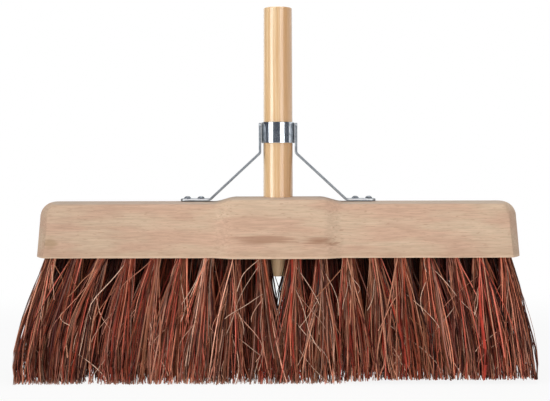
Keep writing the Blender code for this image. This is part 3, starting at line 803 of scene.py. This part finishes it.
def stock_block(values):
    """The block: a grid extruded once, its points then set by the stock's own curves."""
    half, upper = stock_stations(values)
    stations, crossings = mirrored(half), mirrored(stock_crossings(values))
    columns, rows = len(stations) - 1, len(crossings) - 1
    bm = bmesh.new()
    bmesh.ops.create_grid(bm, x_segments=columns, y_segments=rows, size=0.5)
    lower = list(bm.verts)
    raised = bmesh.ops.extrude_face_region(bm, geom=bm.faces[:])["geom"]
    top = [item for item in raised if isinstance(item, bmesh.types.BMVert)]
    for is_top, verts in ((False, lower), (True, top)):
        for vert in verts:
            station = stations[round((vert.co.x + 0.5) * columns)]
            crossing = crossings[round((vert.co.y + 0.5) * rows)]
            vert.co = stock_point(station, crossing, is_top, upper, values)
    put_in_order(bm)
    return bm


def handle_profile(values, extra, top, bottom):
    """The handle's outer side, or with extra the wall of its socket."""
    radius = HANDLE_HIGH.x
    return [
        (0, top),
        (radius + extra, top),
        (radius + extra, STOCK_LOW.z + values.taper),
        (values.spigot + extra, STOCK_LOW.z),
        (values.spigot + extra, bottom),
        (0, bottom),
    ]


class BROOM_OT_stock(bpy.types.Operator):
    """Build the wooden stock with its drilled holes and tapered socket"""

    bl_idname = "broom.stock"
    bl_label = "Stock"

    def execute(self, context):
        values, bristles, handle = settings("stock"), settings("bristles"), settings("handle")
        stock = piece_from(
            stock_block(values), "wooden_stock", stock_material(values), "head", "stock_wood", "stock"
        )
        soften(stock, values.worn_edge, SHARP_ANGLE)
        overrun = bristles.sink
        profile = handle_profile(handle, handle.clearance, STOCK_HIGH.z + overrun, STOCK_LOW.z - overrun)
        bore = bmesh.new()
        spin_profile(bore, profile, ROUND_STEPS)
        drill = bmesh.new()
        depth = bristles.hole_depth + overrun
        middle = values.trim - overrun + depth / 2
        for number in range(COLUMNS_PER_SIDE):
            for tuft in column_tufts(number, bristles):
                for _, side in SIDES:
                    bmesh.ops.create_cone(
                        drill, cap_ends=True, segments=HOLE_STEPS, radius1=tuft.radius, radius2=tuft.radius,
                        depth=depth, matrix=Matrix.Translation((side * tuft.x, tuft.y, middle)),
                    )
        carved(stock, helper_from(bore, "socket"), helper_from(drill, "tuft_holes"))
        return {"FINISHED"}


class BROOM_OT_handle(bpy.types.Operator):
    """Turn the varnished handle with its taper and sawn tip"""

    bl_idname = "broom.handle"
    bl_label = "Handle"

    def execute(self, context):
        values = settings("handle")
        bm = bmesh.new()
        profile = handle_profile(values, 0, HANDLE_HIGH.z, HANDLE_LOW.z)
        upper, tip = HANDLE_HIGH.x - values.thinning, values.spigot
        profile[1:2] = [
            (upper - values.arris, HANDLE_HIGH.z),
            (upper, HANDLE_HIGH.z - values.arris),
            (HANDLE_HIGH.x, STOCK_HIGH.z),
        ]
        profile[-2:-1] = [(tip, HANDLE_LOW.z + values.arris), (tip - values.arris, HANDLE_LOW.z)]
        spin_profile(bm, profile, ROUND_STEPS)
        piece_from(bm, "turned_handle", handle_material(values), "handle", "handle_wood", "handle")
        return {"FINISHED"}


# Tufts

@dataclass
class Fibre:
    """One fibre: where it starts and ends, how it bends, and its section and colour."""

    root: Vector
    tip: Vector
    bow: Vector
    wave: Vector
    width: float
    tone: float
    shade: float
    root_shade: float = 1.0
    splay: float = 1.2
    flat_share: float = 0.8
    turn: float = 0.0


@dataclass
class Tuft:
    """A drilled hole of the right side. The outer rows are the first and the last."""

    x: float
    y: float
    radius: float
    is_outer: bool


BUNCHES = 7                 # of one tone, round a tuft
OWN_TONE = 0.45             # share of fibres with another tone than their bunch
TONE_DRIFT = 0.03           # of the others, from their bunch's tone
FAN_RANGE = (0.85, 1.15)    # of a tuft's widening down to the floor
FLATNESS = (0.55, 0.95)     # of a fibre's section
SHORT_SHARE = 0.06          # share of fibres that end above the trim
SHORTFALL = 0.03            # at most
# Painted shade: a fibre darkens towards the core of its tuft.
CORE_SHADE = 0.53           # of a fibre in the core of its tuft
RIM_GAIN = 0.48             # what its shade gains out to the rim
WIDTH_SPREAD = 0.36         # of a fibre's width, as a share
FIBRE_TAPER = 0.12          # share of its width that a fibre loses
MIDDLE_SPLAY = 1.15         # of the tufts near the handle, see fibre_point
SPLAY_GAIN = 0.5            # what it gains out to the ends
TUCKED_SPLAY = 0.88         # of the tufts beside the socket
GOLDEN_TURN = math.pi * (3 - math.sqrt(5))
TONES = (0.02, 0.08, 0.14, 0.2, 0.26, 0.3, 0.34, 0.38, 0.42, 0.46, 0.5, 0.56, 0.62, 0.7, 0.76, 0.86, 0.94)
STRAY_TONES = (0.44, 0.48, 0.92, 0.96, 1.0, 1.0)
STRAY_SHADES = (0.75, 1.35)
STRAY_WIDTHS = (0.8, 1.35)
STRAY_START = (0, 0.7)      # where it comes out, as a share of the tuft's length
STRAY_LENGTH = (0.14, 0.6)
STRAY_ROOT = 0.6            # of the tuft's radius, out from its middle
STRAY_STAND = (1.2, 2.2)
CROSSING_REACH = (0.5, 1.1)     # past the middle, of the tuft's distance from it
CROSSING_LEVEL = (0.25, 0.8)    # of the tip, as a share of the root's height
CROSSING_TONES = (0, 0.12)
SHADED_SHARE = 0.7          # of a fibre's length, over which its root shade dies out
BRIGHTEST = 1.8             # of a fibre's own shade
END_SHARE = 0.86            # of the full lean, past which stray fibres only reach inwards
TRIM_START = 0.045          # from the handle's axis to where the right half's trim starts to rise
TRIM_RUN = 0.03             # over which it rises
PAST_REACH = 6              # a tip past the outline is drawn back to a sixth of its distance


def fibre_point(fibre, along):
    """A place on a fibre's middle line. It leaves the hole splayed and straightens as it falls."""
    eased = 1 - (1 - along) ** fibre.splay
    level = fibre.root.z + (fibre.tip.z - fibre.root.z) * along
    across = fibre.root.xy + (fibre.tip.xy - fibre.root.xy) * eased
    across += fibre.bow.xy * math.sin(math.pi * along) * along
    across += fibre.wave.xy * math.sin(math.tau * along) * along
    return Vector((across.x, across.y, level))


def place_ring(verts, fibre, along, tone, shade):
    """Set a ring of points round a fibre's middle line, square to it, with its tone and shade."""
    step = 0.5 / FIBRE_RINGS
    centre = fibre_point(fibre, along)
    ahead = fibre_point(fibre, min(along + step, 1)) - fibre_point(fibre, max(along - step, 0))
    turned = ahead.to_track_quat("-Z", "X").to_matrix() @ Matrix.Rotation(fibre.turn, 3, "Z")
    thick = fibre.width / 2 * (1 - FIBRE_TAPER * along)
    # Painted shade at the roots of the inner rows, dying out down the fibre.
    lit = min(fibre.root_shade + (1 - fibre.root_shade) * along / SHADED_SHARE, 1)
    for number, vert in enumerate(verts):
        way = math.tau * number / len(verts)
        section = Vector((thick * math.cos(way), thick * fibre.flat_share * math.sin(way), 0))
        vert.co = centre + turned @ section
        vert.co.z = max(vert.co.z, 0)
        vert[tone], vert[shade] = fibre.tone, fibre.shade * lit


def grow_fibres(fibres):
    """A bmesh of all fibres of a column, drawn out together ring by ring from short prisms."""
    bm = bmesh.new()
    tone = bm.verts.layers.float.new("tone")
    shade = bm.verts.layers.float.new("shade")
    mark = bm.faces.layers.int.new("fibre")
    tips = []
    for number, fibre in enumerate(fibres):
        prism = bmesh.ops.create_cone(
            bm, cap_ends=True, segments=FIBRE_SIDES, radius1=1, radius2=1, depth=1
        )["verts"]
        cap = next(face for face in prism[0].link_faces if len({vert.co.z for vert in face.verts}) == 1)
        lower = list(cap.verts)
        upper = [
            next(edge.other_vert(vert) for edge in vert.link_edges if edge.other_vert(vert) not in lower)
            for vert in lower
        ]
        place_ring(upper, fibre, 0, tone, shade)
        place_ring(lower, fibre, 1 / FIBRE_RINGS, tone, shade)
        cap[mark] = number
        tips.append(cap)
    for ring in range(2, FIBRE_RINGS + 1):
        tips = bmesh.ops.extrude_discrete_faces(bm, faces=tips)["faces"]
        for face in tips:
            place_ring(list(face.verts), fibres[face[mark]], ring / FIBRE_RINGS, tone, shade)
    return bm


def column_tufts(number, values):
    """Tufts of one column of the right side. Every second row is set half a pitch inwards."""
    tufts = []
    for row in range(ROWS):
        is_outer = row in (0, ROWS - 1)
        place = values.first + values.pitch * number
        if row % 2:
            place = place - values.pitch / 2 if number else values.tucked
        tufts.append(Tuft(
            x=place,
            y=values.row_pitch * (row - (ROWS - 1) / 2),
            radius=values.hole if is_outer else values.inner_hole,
            is_outer=is_outer,
        ))
    return tufts


def lean_share(x, values):
    """How far the outward lean has come towards its limit, at a distance from the handle's axis."""
    return 1 - math.exp((values.first - x) / values.lean_reach)


def tip_centre(tuft, lean, values):
    """Where a tuft's middle meets the floor. The first tufts close the gap under the handle."""
    last_row = values.row_pitch * (ROWS - 1) / 2
    along = tuft.x - values.close_in + (lean + values.close_in) * lean_share(tuft.x, values)
    return Vector((along, tuft.y * values.depth / 2 / last_row, 0))


def held_in(place, limit):
    """A place drawn back towards a limit that it runs past."""
    past = abs(place) - limit
    return place if past <= 0 else math.copysign(limit + past / PAST_REACH, place)


def trimmed(tip, reach, values):
    """A tip held within the outline of the tufts."""
    return Vector((held_in(tip.x, reach), held_in(tip.y, values.depth / 2 + values.hole), max(tip.z, 0)))


def scattered(chance, amount):
    """A random step, as far along the stock as across it."""
    return Vector((chance.gauss(0, amount), chance.gauss(0, amount), 0))


def tuft_fibres(tuft, middle, values, chance, root_level):
    """All fibres of one tuft. Neighbours in the hole share a tone, as a bunch of dyed fibre does."""
    fan = values.fan * chance.uniform(*FAN_RANGE)
    splay = TUCKED_SPLAY
    if tuft.x > values.first:
        splay = MIDDLE_SPLAY + SPLAY_GAIN * lean_share(tuft.x, values) ** 2
    bunches = [(chance.uniform(0, math.tau), chance.choice(TONES)) for _ in range(BUNCHES)]
    count = values.fibres if tuft.is_outer else values.inner_fibres
    row_shade = 1 if tuft.is_outer else values.inner_shade
    fibres = []
    for number in range(count):
        from_core = math.sqrt((number + 0.5) / count)
        way = number * GOLDEN_TURN
        offset = Vector((math.cos(way), math.sin(way), 0)) * from_core * tuft.radius
        near = min(bunches, key=lambda bunch: abs(math.remainder(bunch[0] - way, math.tau)))
        tone = chance.choice(TONES) if chance.random() < OWN_TONE else near[1] + chance.gauss(0, TONE_DRIFT)
        loose = scattered(chance, values.scatter)
        loose.z = abs(chance.gauss(0, values.ragged))
        if chance.random() < SHORT_SHARE:
            loose.z += chance.uniform(0, SHORTFALL)
        # The random factor is the fibre's own tone. The row and core factors are painted shade.
        shade = row_shade * math.exp(chance.gauss(0, values.contrast)) * (CORE_SHADE + RIM_GAIN * from_core)
        fibres.append(Fibre(
            root=Vector((tuft.x, tuft.y, root_level)) + offset,
            tip=middle + offset * fan + loose,
            bow=scattered(chance, values.bend),
            wave=scattered(chance, values.bend / 2),
            width=values.width * math.exp(chance.gauss(0, WIDTH_SPREAD)),
            tone=min(max(tone, 0), 1),
            shade=min(shade, BRIGHTEST),
            root_shade=1 if tuft.is_outer else values.root_shade,
            splay=splay,
            flat_share=chance.uniform(*FLATNESS),
            turn=chance.uniform(0, math.pi),
        ))
    return fibres


def stray_fibres(tuft, middle, values, chance, root_level):
    """Thin fibres that come out of a tuft lower down and cross in front of its neighbours."""
    face = math.copysign(1, tuft.y)
    top = Vector((tuft.x, tuft.y, root_level))
    outwards = Vector((0, face * tuft.radius, 0))
    fibres = []
    for _ in range(values.strays):
        start = chance.uniform(*STRAY_START)
        end = min(start + chance.uniform(*STRAY_LENGTH), 1)
        away = Vector((chance.gauss(0.1, 1.0) * values.stray_reach, 0, 0))
        if lean_share(tuft.x, values) > END_SHARE:
            away.x = -abs(away.x)
        elif tuft.x <= values.first:
            away.x = abs(away.x)
        fibres.append(Fibre(
            root=top.lerp(middle, start) + outwards * STRAY_ROOT,
            tip=top.lerp(middle, end) + outwards * chance.uniform(*STRAY_STAND) + away,
            bow=Vector((chance.gauss(0, 1.2) * values.bend, face * chance.uniform(0, 1) * values.bend, 0)),
            wave=Vector((chance.gauss(0, values.bend / 2), 0, 0)),
            width=values.stray_width * chance.uniform(*STRAY_WIDTHS),
            tone=chance.choice(STRAY_TONES),
            shade=chance.uniform(*STRAY_SHADES),
        ))
    return fibres


def crossing_fibres(tuft, values, chance, root_level):
    """Dark fibres that cross the gap under the handle's tip, from a tuft beside it."""
    return [Fibre(
        tip=Vector((
            -tuft.x * chance.uniform(*CROSSING_REACH), tuft.y, root_level * chance.uniform(*CROSSING_LEVEL)
        )),
        root=Vector((tuft.x - tuft.radius / 2, tuft.y, root_level)),
        bow=Vector((chance.gauss(0, values.bend), 0, 0)),
        wave=Vector((chance.gauss(0, values.bend / 2), 0, 0)),
        width=values.width,
        tone=chance.uniform(*CROSSING_TONES),
        shade=values.inner_shade,
    ) for _ in range(values.crossings)]


def column_fibres(side, number, values, stock, chance):
    """The fibres of one column of tufts, on the left or right side."""
    saddle = saddle_share(values.first + values.pitch * number, stock)
    root_level = stock.trim - (stock.trim - STOCK_LOW.z) * saddle + values.sink
    if side < 0:
        lean, reach, swell, trim = values.left_lean, values.left_reach, values.left_belly, 0
    else:
        lean, reach, swell = values.right_lean, values.right_reach, -values.right_hollow
        trim = values.right_trim
    fibres = []
    for tuft in column_tufts(number, values):
        middle = tip_centre(tuft, lean, values)
        middle.x += chance.gauss(0, values.scatter / 3)
        grown = tuft_fibres(tuft, middle, values, chance, root_level)
        if tuft.is_outer:
            grown += stray_fibres(tuft, middle, values, chance, root_level)
        elif tuft.x < values.first and tuft.y > 0:
            grown += crossing_fibres(tuft, values, chance, root_level)
        for fibre in grown:
            fibre.bow.x += swell * max(lean_share(tuft.x, values), 0) ** 3
            fibre.tip.z += trim * min(max((tuft.x - TRIM_START) / TRIM_RUN, 0), 1)
        fibres += grown
    for fibre in fibres:
        fibre.tip = trimmed(fibre.tip, reach, values)
        for place in (fibre.root, fibre.tip, fibre.bow, fibre.wave):
            place.x *= side
    return fibres


class BROOM_OT_tufts(bpy.types.Operator):
    """Grow the fibres of all eighteen tuft columns"""

    bl_idname = "broom.tufts"
    bl_label = "Tufts"

    def execute(self, context):
        values, stock = settings("bristles"), settings("stock")
        chance = random.Random(values.seed)
        material = fibre_material(values)
        for side_name, side in SIDES:
            for number in range(COLUMNS_PER_SIDE):
                fibres = column_fibres(side, number, values, stock, chance)
                piece_from(
                    grow_fibres(fibres), f"fibres_{side_name}_{number + 1}", material, "head",
                    "bristle_fibre", f"tuft_column_{side_name}_{number + 1}",
                )
        return {"FINISHED"}


# Stay and clamp

class BROOM_OT_stay(bpy.types.Operator):
    """Bend the two stay strips"""

    bl_idname = "broom.stay"
    bl_label = "Stay Strips"

    def execute(self, context):
        values = settings("steel")
        finish = strip_zinc(values)
        half, level = values.strip / 2, STAY_LOW.z
        tab = STAY_LOW.x + half
        path = rounded_path([
            (STAY_HIGH.x, half), (values.foot_bend, half), (tab, values.leg), (tab, STAY_HIGH.z - level)
        ], values.bend)
        for side_name, side in SIDES:
            bm = strip_sheet(path, STAY_HIGH.y - STAY_LOW.y, values.foot_corner)
            bmesh.ops.rotate(bm, cent=(0, 0, 0), matrix=Matrix.Rotation(math.pi / 2, 3, "X"), verts=bm.verts)
            bmesh.ops.scale(bm, vec=(side, 1, 1), verts=bm.verts)
            bmesh.ops.translate(bm, vec=(0, 0, level), verts=bm.verts)
            stay = steel_piece(bm, f"stay_strip_{side_name}", finish, f"stay_{side_name}")
            thickened(stay, values.strip, values.arris)
        return {"FINISHED"}


def band_path(values):
    """Middle line of the clamp band, seen from above: ear, bend, ring, bend, ear."""
    ring = BAND_HIGH.x - values.band / 2
    bend = values.ear_bend + values.band / 2
    bend_x = values.ear_gap / 2 + values.band + values.ear_bend
    bend_y = math.sqrt((ring + bend) ** 2 - bend_x ** 2)
    meeting = math.atan2(bend_y, bend_x)
    right = [(bend_x - bend, BAND_HIGH.y)] + arc((bend_x, bend_y), bend, math.pi, math.pi + meeting)
    around = arc((0, 0), ring, meeting, -math.pi - meeting, ROUND_STEPS)
    left = [(-x, y) for x, y in reversed(right)]
    return right[:-1] + around + left[1:]


class BROOM_OT_band(bpy.types.Operator):
    """Roll the split clamp band with its two ears"""

    bl_idname = "broom.band"
    bl_label = "Clamp Band"

    def execute(self, context):
        values = settings("steel")
        bm = strip_sheet(band_path(values), BAND_HIGH.z - BAND_LOW.z, values.ear_corner)
        bmesh.ops.translate(bm, vec=(0, 0, (BAND_LOW.z + BAND_HIGH.z) / 2), verts=bm.verts)
        band = steel_piece(bm, "split_clamp_band", bright_zinc(values), "clamp_band")
        thickened(band, values.band, values.arris)
        return {"FINISHED"}


def along_bolt(bm):
    """Turn what is built along Z onto the clamp bolt's axis, which runs along X."""
    axis = (BOLT_LOW + BOLT_HIGH) / 2
    bmesh.ops.rotate(bm, cent=(0, 0, 0), matrix=Matrix.Rotation(math.pi / 2, 3, "Y"), verts=bm.verts)
    bmesh.ops.translate(bm, vec=(0, axis.y, axis.z), verts=bm.verts)


def hexagon(bm, low, high, arris):
    """A hexagonal prism along Z with softened edges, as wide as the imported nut."""
    radius = (NUT_HIGH.y - NUT_LOW.y) / 2
    verts = bmesh.ops.create_cone(
        bm, cap_ends=True, segments=6, radius1=radius, radius2=radius, depth=high - low
    )["verts"]
    bmesh.ops.translate(bm, vec=(0, 0, (low + high) / 2), verts=verts)
    bmesh.ops.bevel(
        bm, geom=bm.edges[:], offset=arris, segments=2, profile=0.5, affect="EDGES", material=-1
    )


def threaded_profile(values, low, high):
    """Outer side of a threaded rod between two heights, closed at both ends."""
    turns = int((high - low) / values.thread)
    root = values.bolt - values.thread / 2
    profile = [(0, high), (root, high)]
    for turn in range(turns):
        level = high - values.thread * turn
        profile += [(values.bolt, level - values.thread / 2), (root, level - values.thread)]
    return profile + [(root, low), (0, low)]


class BROOM_OT_fixings(bpy.types.Operator):
    """Make the clamp bolt, its nut and the two washers"""

    bl_idname = "broom.fixings"
    bl_label = "Clamp Bolt"

    def execute(self, context):
        values = settings("steel")
        finish = dark_zinc(values)
        seat = -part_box("head_washer")[0].x + SEAM
        bolt = bmesh.new()
        hexagon(bolt, BOLT_LOW.x, -seat, values.arris)
        spin_profile(bolt, threaded_profile(values, -seat, BOLT_HIGH.x), SMALL_STEPS)
        along_bolt(bolt)
        steel_piece(bolt, "bolt_with_thread", finish, "clamp_bolt")
        nut = bmesh.new()
        hexagon(nut, NUT_LOW.x, NUT_HIGH.x, values.arris)
        along_bolt(nut)
        steel_piece(nut, "hexagon_nut", finish, "clamp_nut")
        for node in ("head_washer", "nut_washer"):
            low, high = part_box(node)
            outer, edge = (high.y - low.y) / 2, (high.x - low.x) / 4
            washer = bmesh.new()
            spin_profile(washer, [
                (values.bolt, high.x), (outer - edge, high.x), (outer, high.x - edge), (outer, low.x + edge),
                (outer - edge, low.x), (values.bolt, low.x), (values.bolt, high.x),
            ], SMALL_STEPS)
            along_bolt(washer)
            steel_piece(washer, f"{node}_disc", bright_zinc(values), node)
        return {"FINISHED"}


SHANK_SHARE = 0.6           # of the head's radius
POINT_START = 0.75          # of the shank's length
SLOT_SHARE = 1.15           # length of the recess, of the head's radius
SLOT_LEVEL = 1.05           # middle of the recess's cutter, of the head's height
SLOT_TURN = 0.9             # from one screw of a foot to the next
SLOT_DRIFT = 30             # turn for each metre along the stock


def screw_profile(values, root):
    """A domed head and a shank, from the head's seat at 0 down to the root."""
    turns = [math.pi / 2 * step / ARC_STEPS for step in range(ARC_STEPS + 1)]
    dome = [(values.screw_head * math.sin(turn), values.screw_rise * math.cos(turn)) for turn in turns]
    shank = values.screw_head * SHANK_SHARE
    return dome + [(shank, 0), (shank, root * POINT_START), (0, root)]


class BROOM_OT_screws(bpy.types.Operator):
    """Set the four round-headed wood screws with their cross recess"""

    bl_idname = "broom.screws"
    bl_label = "Wood Screws"

    def execute(self, context):
        values = settings("steel")
        slot_size = Matrix.Diagonal((values.screw_head * SLOT_SHARE, values.recess, values.screw_rise, 1))
        for side_name, _ in SIDES:
            for number in range(1, SCREWS_PER_FOOT + 1):
                node = f"stay_screw_{side_name}_{number}"
                low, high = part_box(node)
                seat = Vector(((low.x + high.x) / 2, 0, high.z - values.screw_rise))
                bm = bmesh.new()
                spin_profile(bm, screw_profile(values, low.z - seat.z), SMALL_STEPS)
                bmesh.ops.translate(bm, vec=seat, verts=bm.verts)
                screw = steel_piece(bm, f"wood_screw_{side_name}_{number}", dark_zinc(values), node)
                place = Matrix.Translation(seat + Vector((0, 0, values.screw_rise * SLOT_LEVEL)))
                turn = SLOT_TURN * number + SLOT_DRIFT * seat.x
                slots = []
                for way in (turn, turn + math.pi / 2):
                    slot = bmesh.new()
                    turned = Matrix.Rotation(way, 4, "Z")
                    bmesh.ops.create_cube(slot, size=1, matrix=place @ turned @ slot_size)
                    slots.append(helper_from(slot, "recess"))
                carved(screw, *slots)
        return {"FINISHED"}


# Studio

FLOOR_SIZE = 12.0
SHADOW_FADE = (0.35, 0.75)  # from the middle of the floor to where the shadow has died out
ROOM_LIGHT = (0.96, 0.98, 1.0)
ROOM_DARK = (0.07, 0.08, 0.105)
AMBIENT_LIGHT = (0.97, 0.98, 1.0)
DARK_EDGES = ((-132, -126), (86, 80))   # degrees round the room, each from light to dark


def seen_rays(tree):
    """Light Path's outputs, and 1 for what the camera sees, also in a mirror or through glass."""
    rays = add_node(tree, "ShaderNodeLightPath").outputs
    seen = math_node(tree, "MAXIMUM", rays["Is Camera Ray"], rays["Is Glossy Ray"])
    return rays, math_node(tree, "MAXIMUM", seen, rays["Is Transmission Ray"])


def floor_material(values):
    """White sweep that takes a faint shadow of the object."""
    material, tree, shader = new_material("white_sweep")
    feed(tree, shader, {"Base Color": values.floor, "Roughness": 0.9, "Specular IOR Level": 0.0})
    _, seen = seen_rays(tree)
    white = add_node(tree, "ShaderNodeEmission", {"Color": (1, 1, 1), "Strength": 1.0}).outputs[0]
    reach = vector_math(tree, "LENGTH", coordinates(tree, "Object"))["Value"]
    factor = times(tree, seen, spread(tree, reach, *SHADOW_FADE, 1 - values.shadow, 1.0))
    mixed = add_node(tree, "ShaderNodeMixShader", {0: factor, 1: shader.outputs[0], 2: white}).outputs[0]
    feed(tree, tree.nodes["Material Output"], {"Surface": mixed})
    return material


def studio_world(values):
    """White to the eye. Polished metal sees the white room too, with the dark side round the camera."""
    world = bpy.data.worlds.new("studio")
    bpy.context.scene.world = world
    world.use_nodes = True
    tree = world.node_tree
    tree.nodes.clear()
    rays, seen = seen_rays(tree)
    parts = axes(tree, coordinates(tree, "Generated"))
    turn = math_node(tree, "ARCTAN2", parts["X"], times(tree, parts["Y"], -1.0))
    dark = times(tree, *(
        spread(tree, turn, math.radians(start), math.radians(end)) for start, end in DARK_EDGES
    ))
    room = mix_colour(tree, dark, ROOM_LIGHT, ROOM_DARK)
    mirror = mix_colour(tree, rays["Is Glossy Ray"], (1, 1, 1), room)
    ambient = add_node(tree, "ShaderNodeBackground", {0: AMBIENT_LIGHT, 1: values.ambient}).outputs[0]
    shown = add_node(tree, "ShaderNodeBackground", {0: mirror, 1: 1.0}).outputs[0]
    mixed = add_node(tree, "ShaderNodeMixShader", {0: seen, 1: ambient, 2: shown}).outputs[0]
    add_node(tree, "ShaderNodeOutputWorld", {0: mixed})


def add_lamp(name, radiance, azimuth, elevation, distance, size):
    """A softbox at an azimuth in degrees from the camera's side, with the given radiance at its face."""
    data = bpy.data.lights.new(name, "AREA")
    data.shape = "RECTANGLE"
    data.size, data.size_y = size
    data.energy = radiance * math.pi * size[0] * size[1]
    lamp = bpy.data.objects.new(name, data)
    bpy.context.scene.collection.objects.link(lamp)
    turn, lift = math.radians(azimuth), math.radians(elevation)
    way = Vector((math.sin(turn) * math.cos(lift), -math.cos(turn) * math.cos(lift), math.sin(lift)))
    lamp.location = Vector((0, 0, (CAD_BOX[0].z + CAD_BOX[1].z) / 2)) + way * distance
    lamp.rotation_euler = (-way).to_track_quat("-Z", "Y").to_euler()
    lamp.visible_camera = False
    return lamp


class BROOM_OT_studio(bpy.types.Operator):
    """Lay the white floor and set the lamps and the camera"""

    bl_idname = "broom.studio"
    bl_label = "Studio"

    def execute(self, context):
        values = settings("studio")
        bm = bmesh.new()
        bmesh.ops.create_grid(bm, x_segments=1, y_segments=1, size=FLOOR_SIZE / 2)
        floor = object_from(bm, "floor")
        floor.data.materials.append(floor_material(values))
        studio_world(values)
        add_lamp("left_softbox", values.left_lamp, azimuth=-52, elevation=4, distance=2.6, size=(1.24, 1.9))
        add_lamp("right_softbox", values.right_lamp, azimuth=30, elevation=4, distance=2.6, size=(1.24, 1.5))
        add_lamp("top_softbox", values.top_lamp, azimuth=0, elevation=78, distance=1.3, size=(1.2, 1.2))
        fill = add_lamp("front_fill", values.fill_lamp, azimuth=-6, elevation=2, distance=1.6, size=(1, 0.8))
        fill.visible_glossy = False
        camera = bpy.data.objects.new("camera", bpy.data.cameras.new("camera"))
        context.scene.collection.objects.link(camera)
        context.scene.camera = camera
        camera.data.lens = values.lens
        camera.location = (-values.offset, -values.distance, values.height)
        camera.rotation_euler = (math.pi / 2 - values.pitch, values.roll, 0)
        context.scene.view_settings.view_transform = "Standard"
        return {"FINISHED"}


class BROOM_PT_panel(bpy.types.Panel):
    """Lists the operators and the settings of each piece"""

    bl_idname = "BROOM_PT_panel"
    bl_label = "Street Broom Head"
    bl_space_type = "VIEW_3D"
    bl_region_type = "UI"
    bl_category = "Broom"

    def draw(self, context):
        for operator in OPERATORS:
            self.layout.operator(operator.bl_idname)
        for name, group in SETTINGS.items():
            box = self.layout.box()
            box.label(text=name.title())
            for key in group.__annotations__:
                box.prop(settings(name), key)


OPERATORS = (
    BROOM_OT_studio, BROOM_OT_stock, BROOM_OT_handle, BROOM_OT_tufts, BROOM_OT_stay, BROOM_OT_band,
    BROOM_OT_fixings, BROOM_OT_screws,
)


def register():
    for group in (*SETTINGS.values(), *OPERATORS, BROOM_PT_panel):
        bpy.utils.register_class(group)
    for name, group in SETTINGS.items():
        setattr(bpy.types.Scene, f"broom_{name}", bpy.props.PointerProperty(type=group))


def unregister():
    for name in SETTINGS:
        delattr(bpy.types.Scene, f"broom_{name}")
    for group in reversed((*SETTINGS.values(), *OPERATORS, BROOM_PT_panel)):
        bpy.utils.unregister_class(group)


def main():
    register()
    bpy.ops.broom.studio()
    bpy.ops.broom.stock()
    bpy.ops.broom.handle()
    bpy.ops.broom.tufts()
    bpy.ops.broom.stay()
    bpy.ops.broom.band()
    bpy.ops.broom.fixings()
    bpy.ops.broom.screws()


if __name__ == "__main__":
    main()
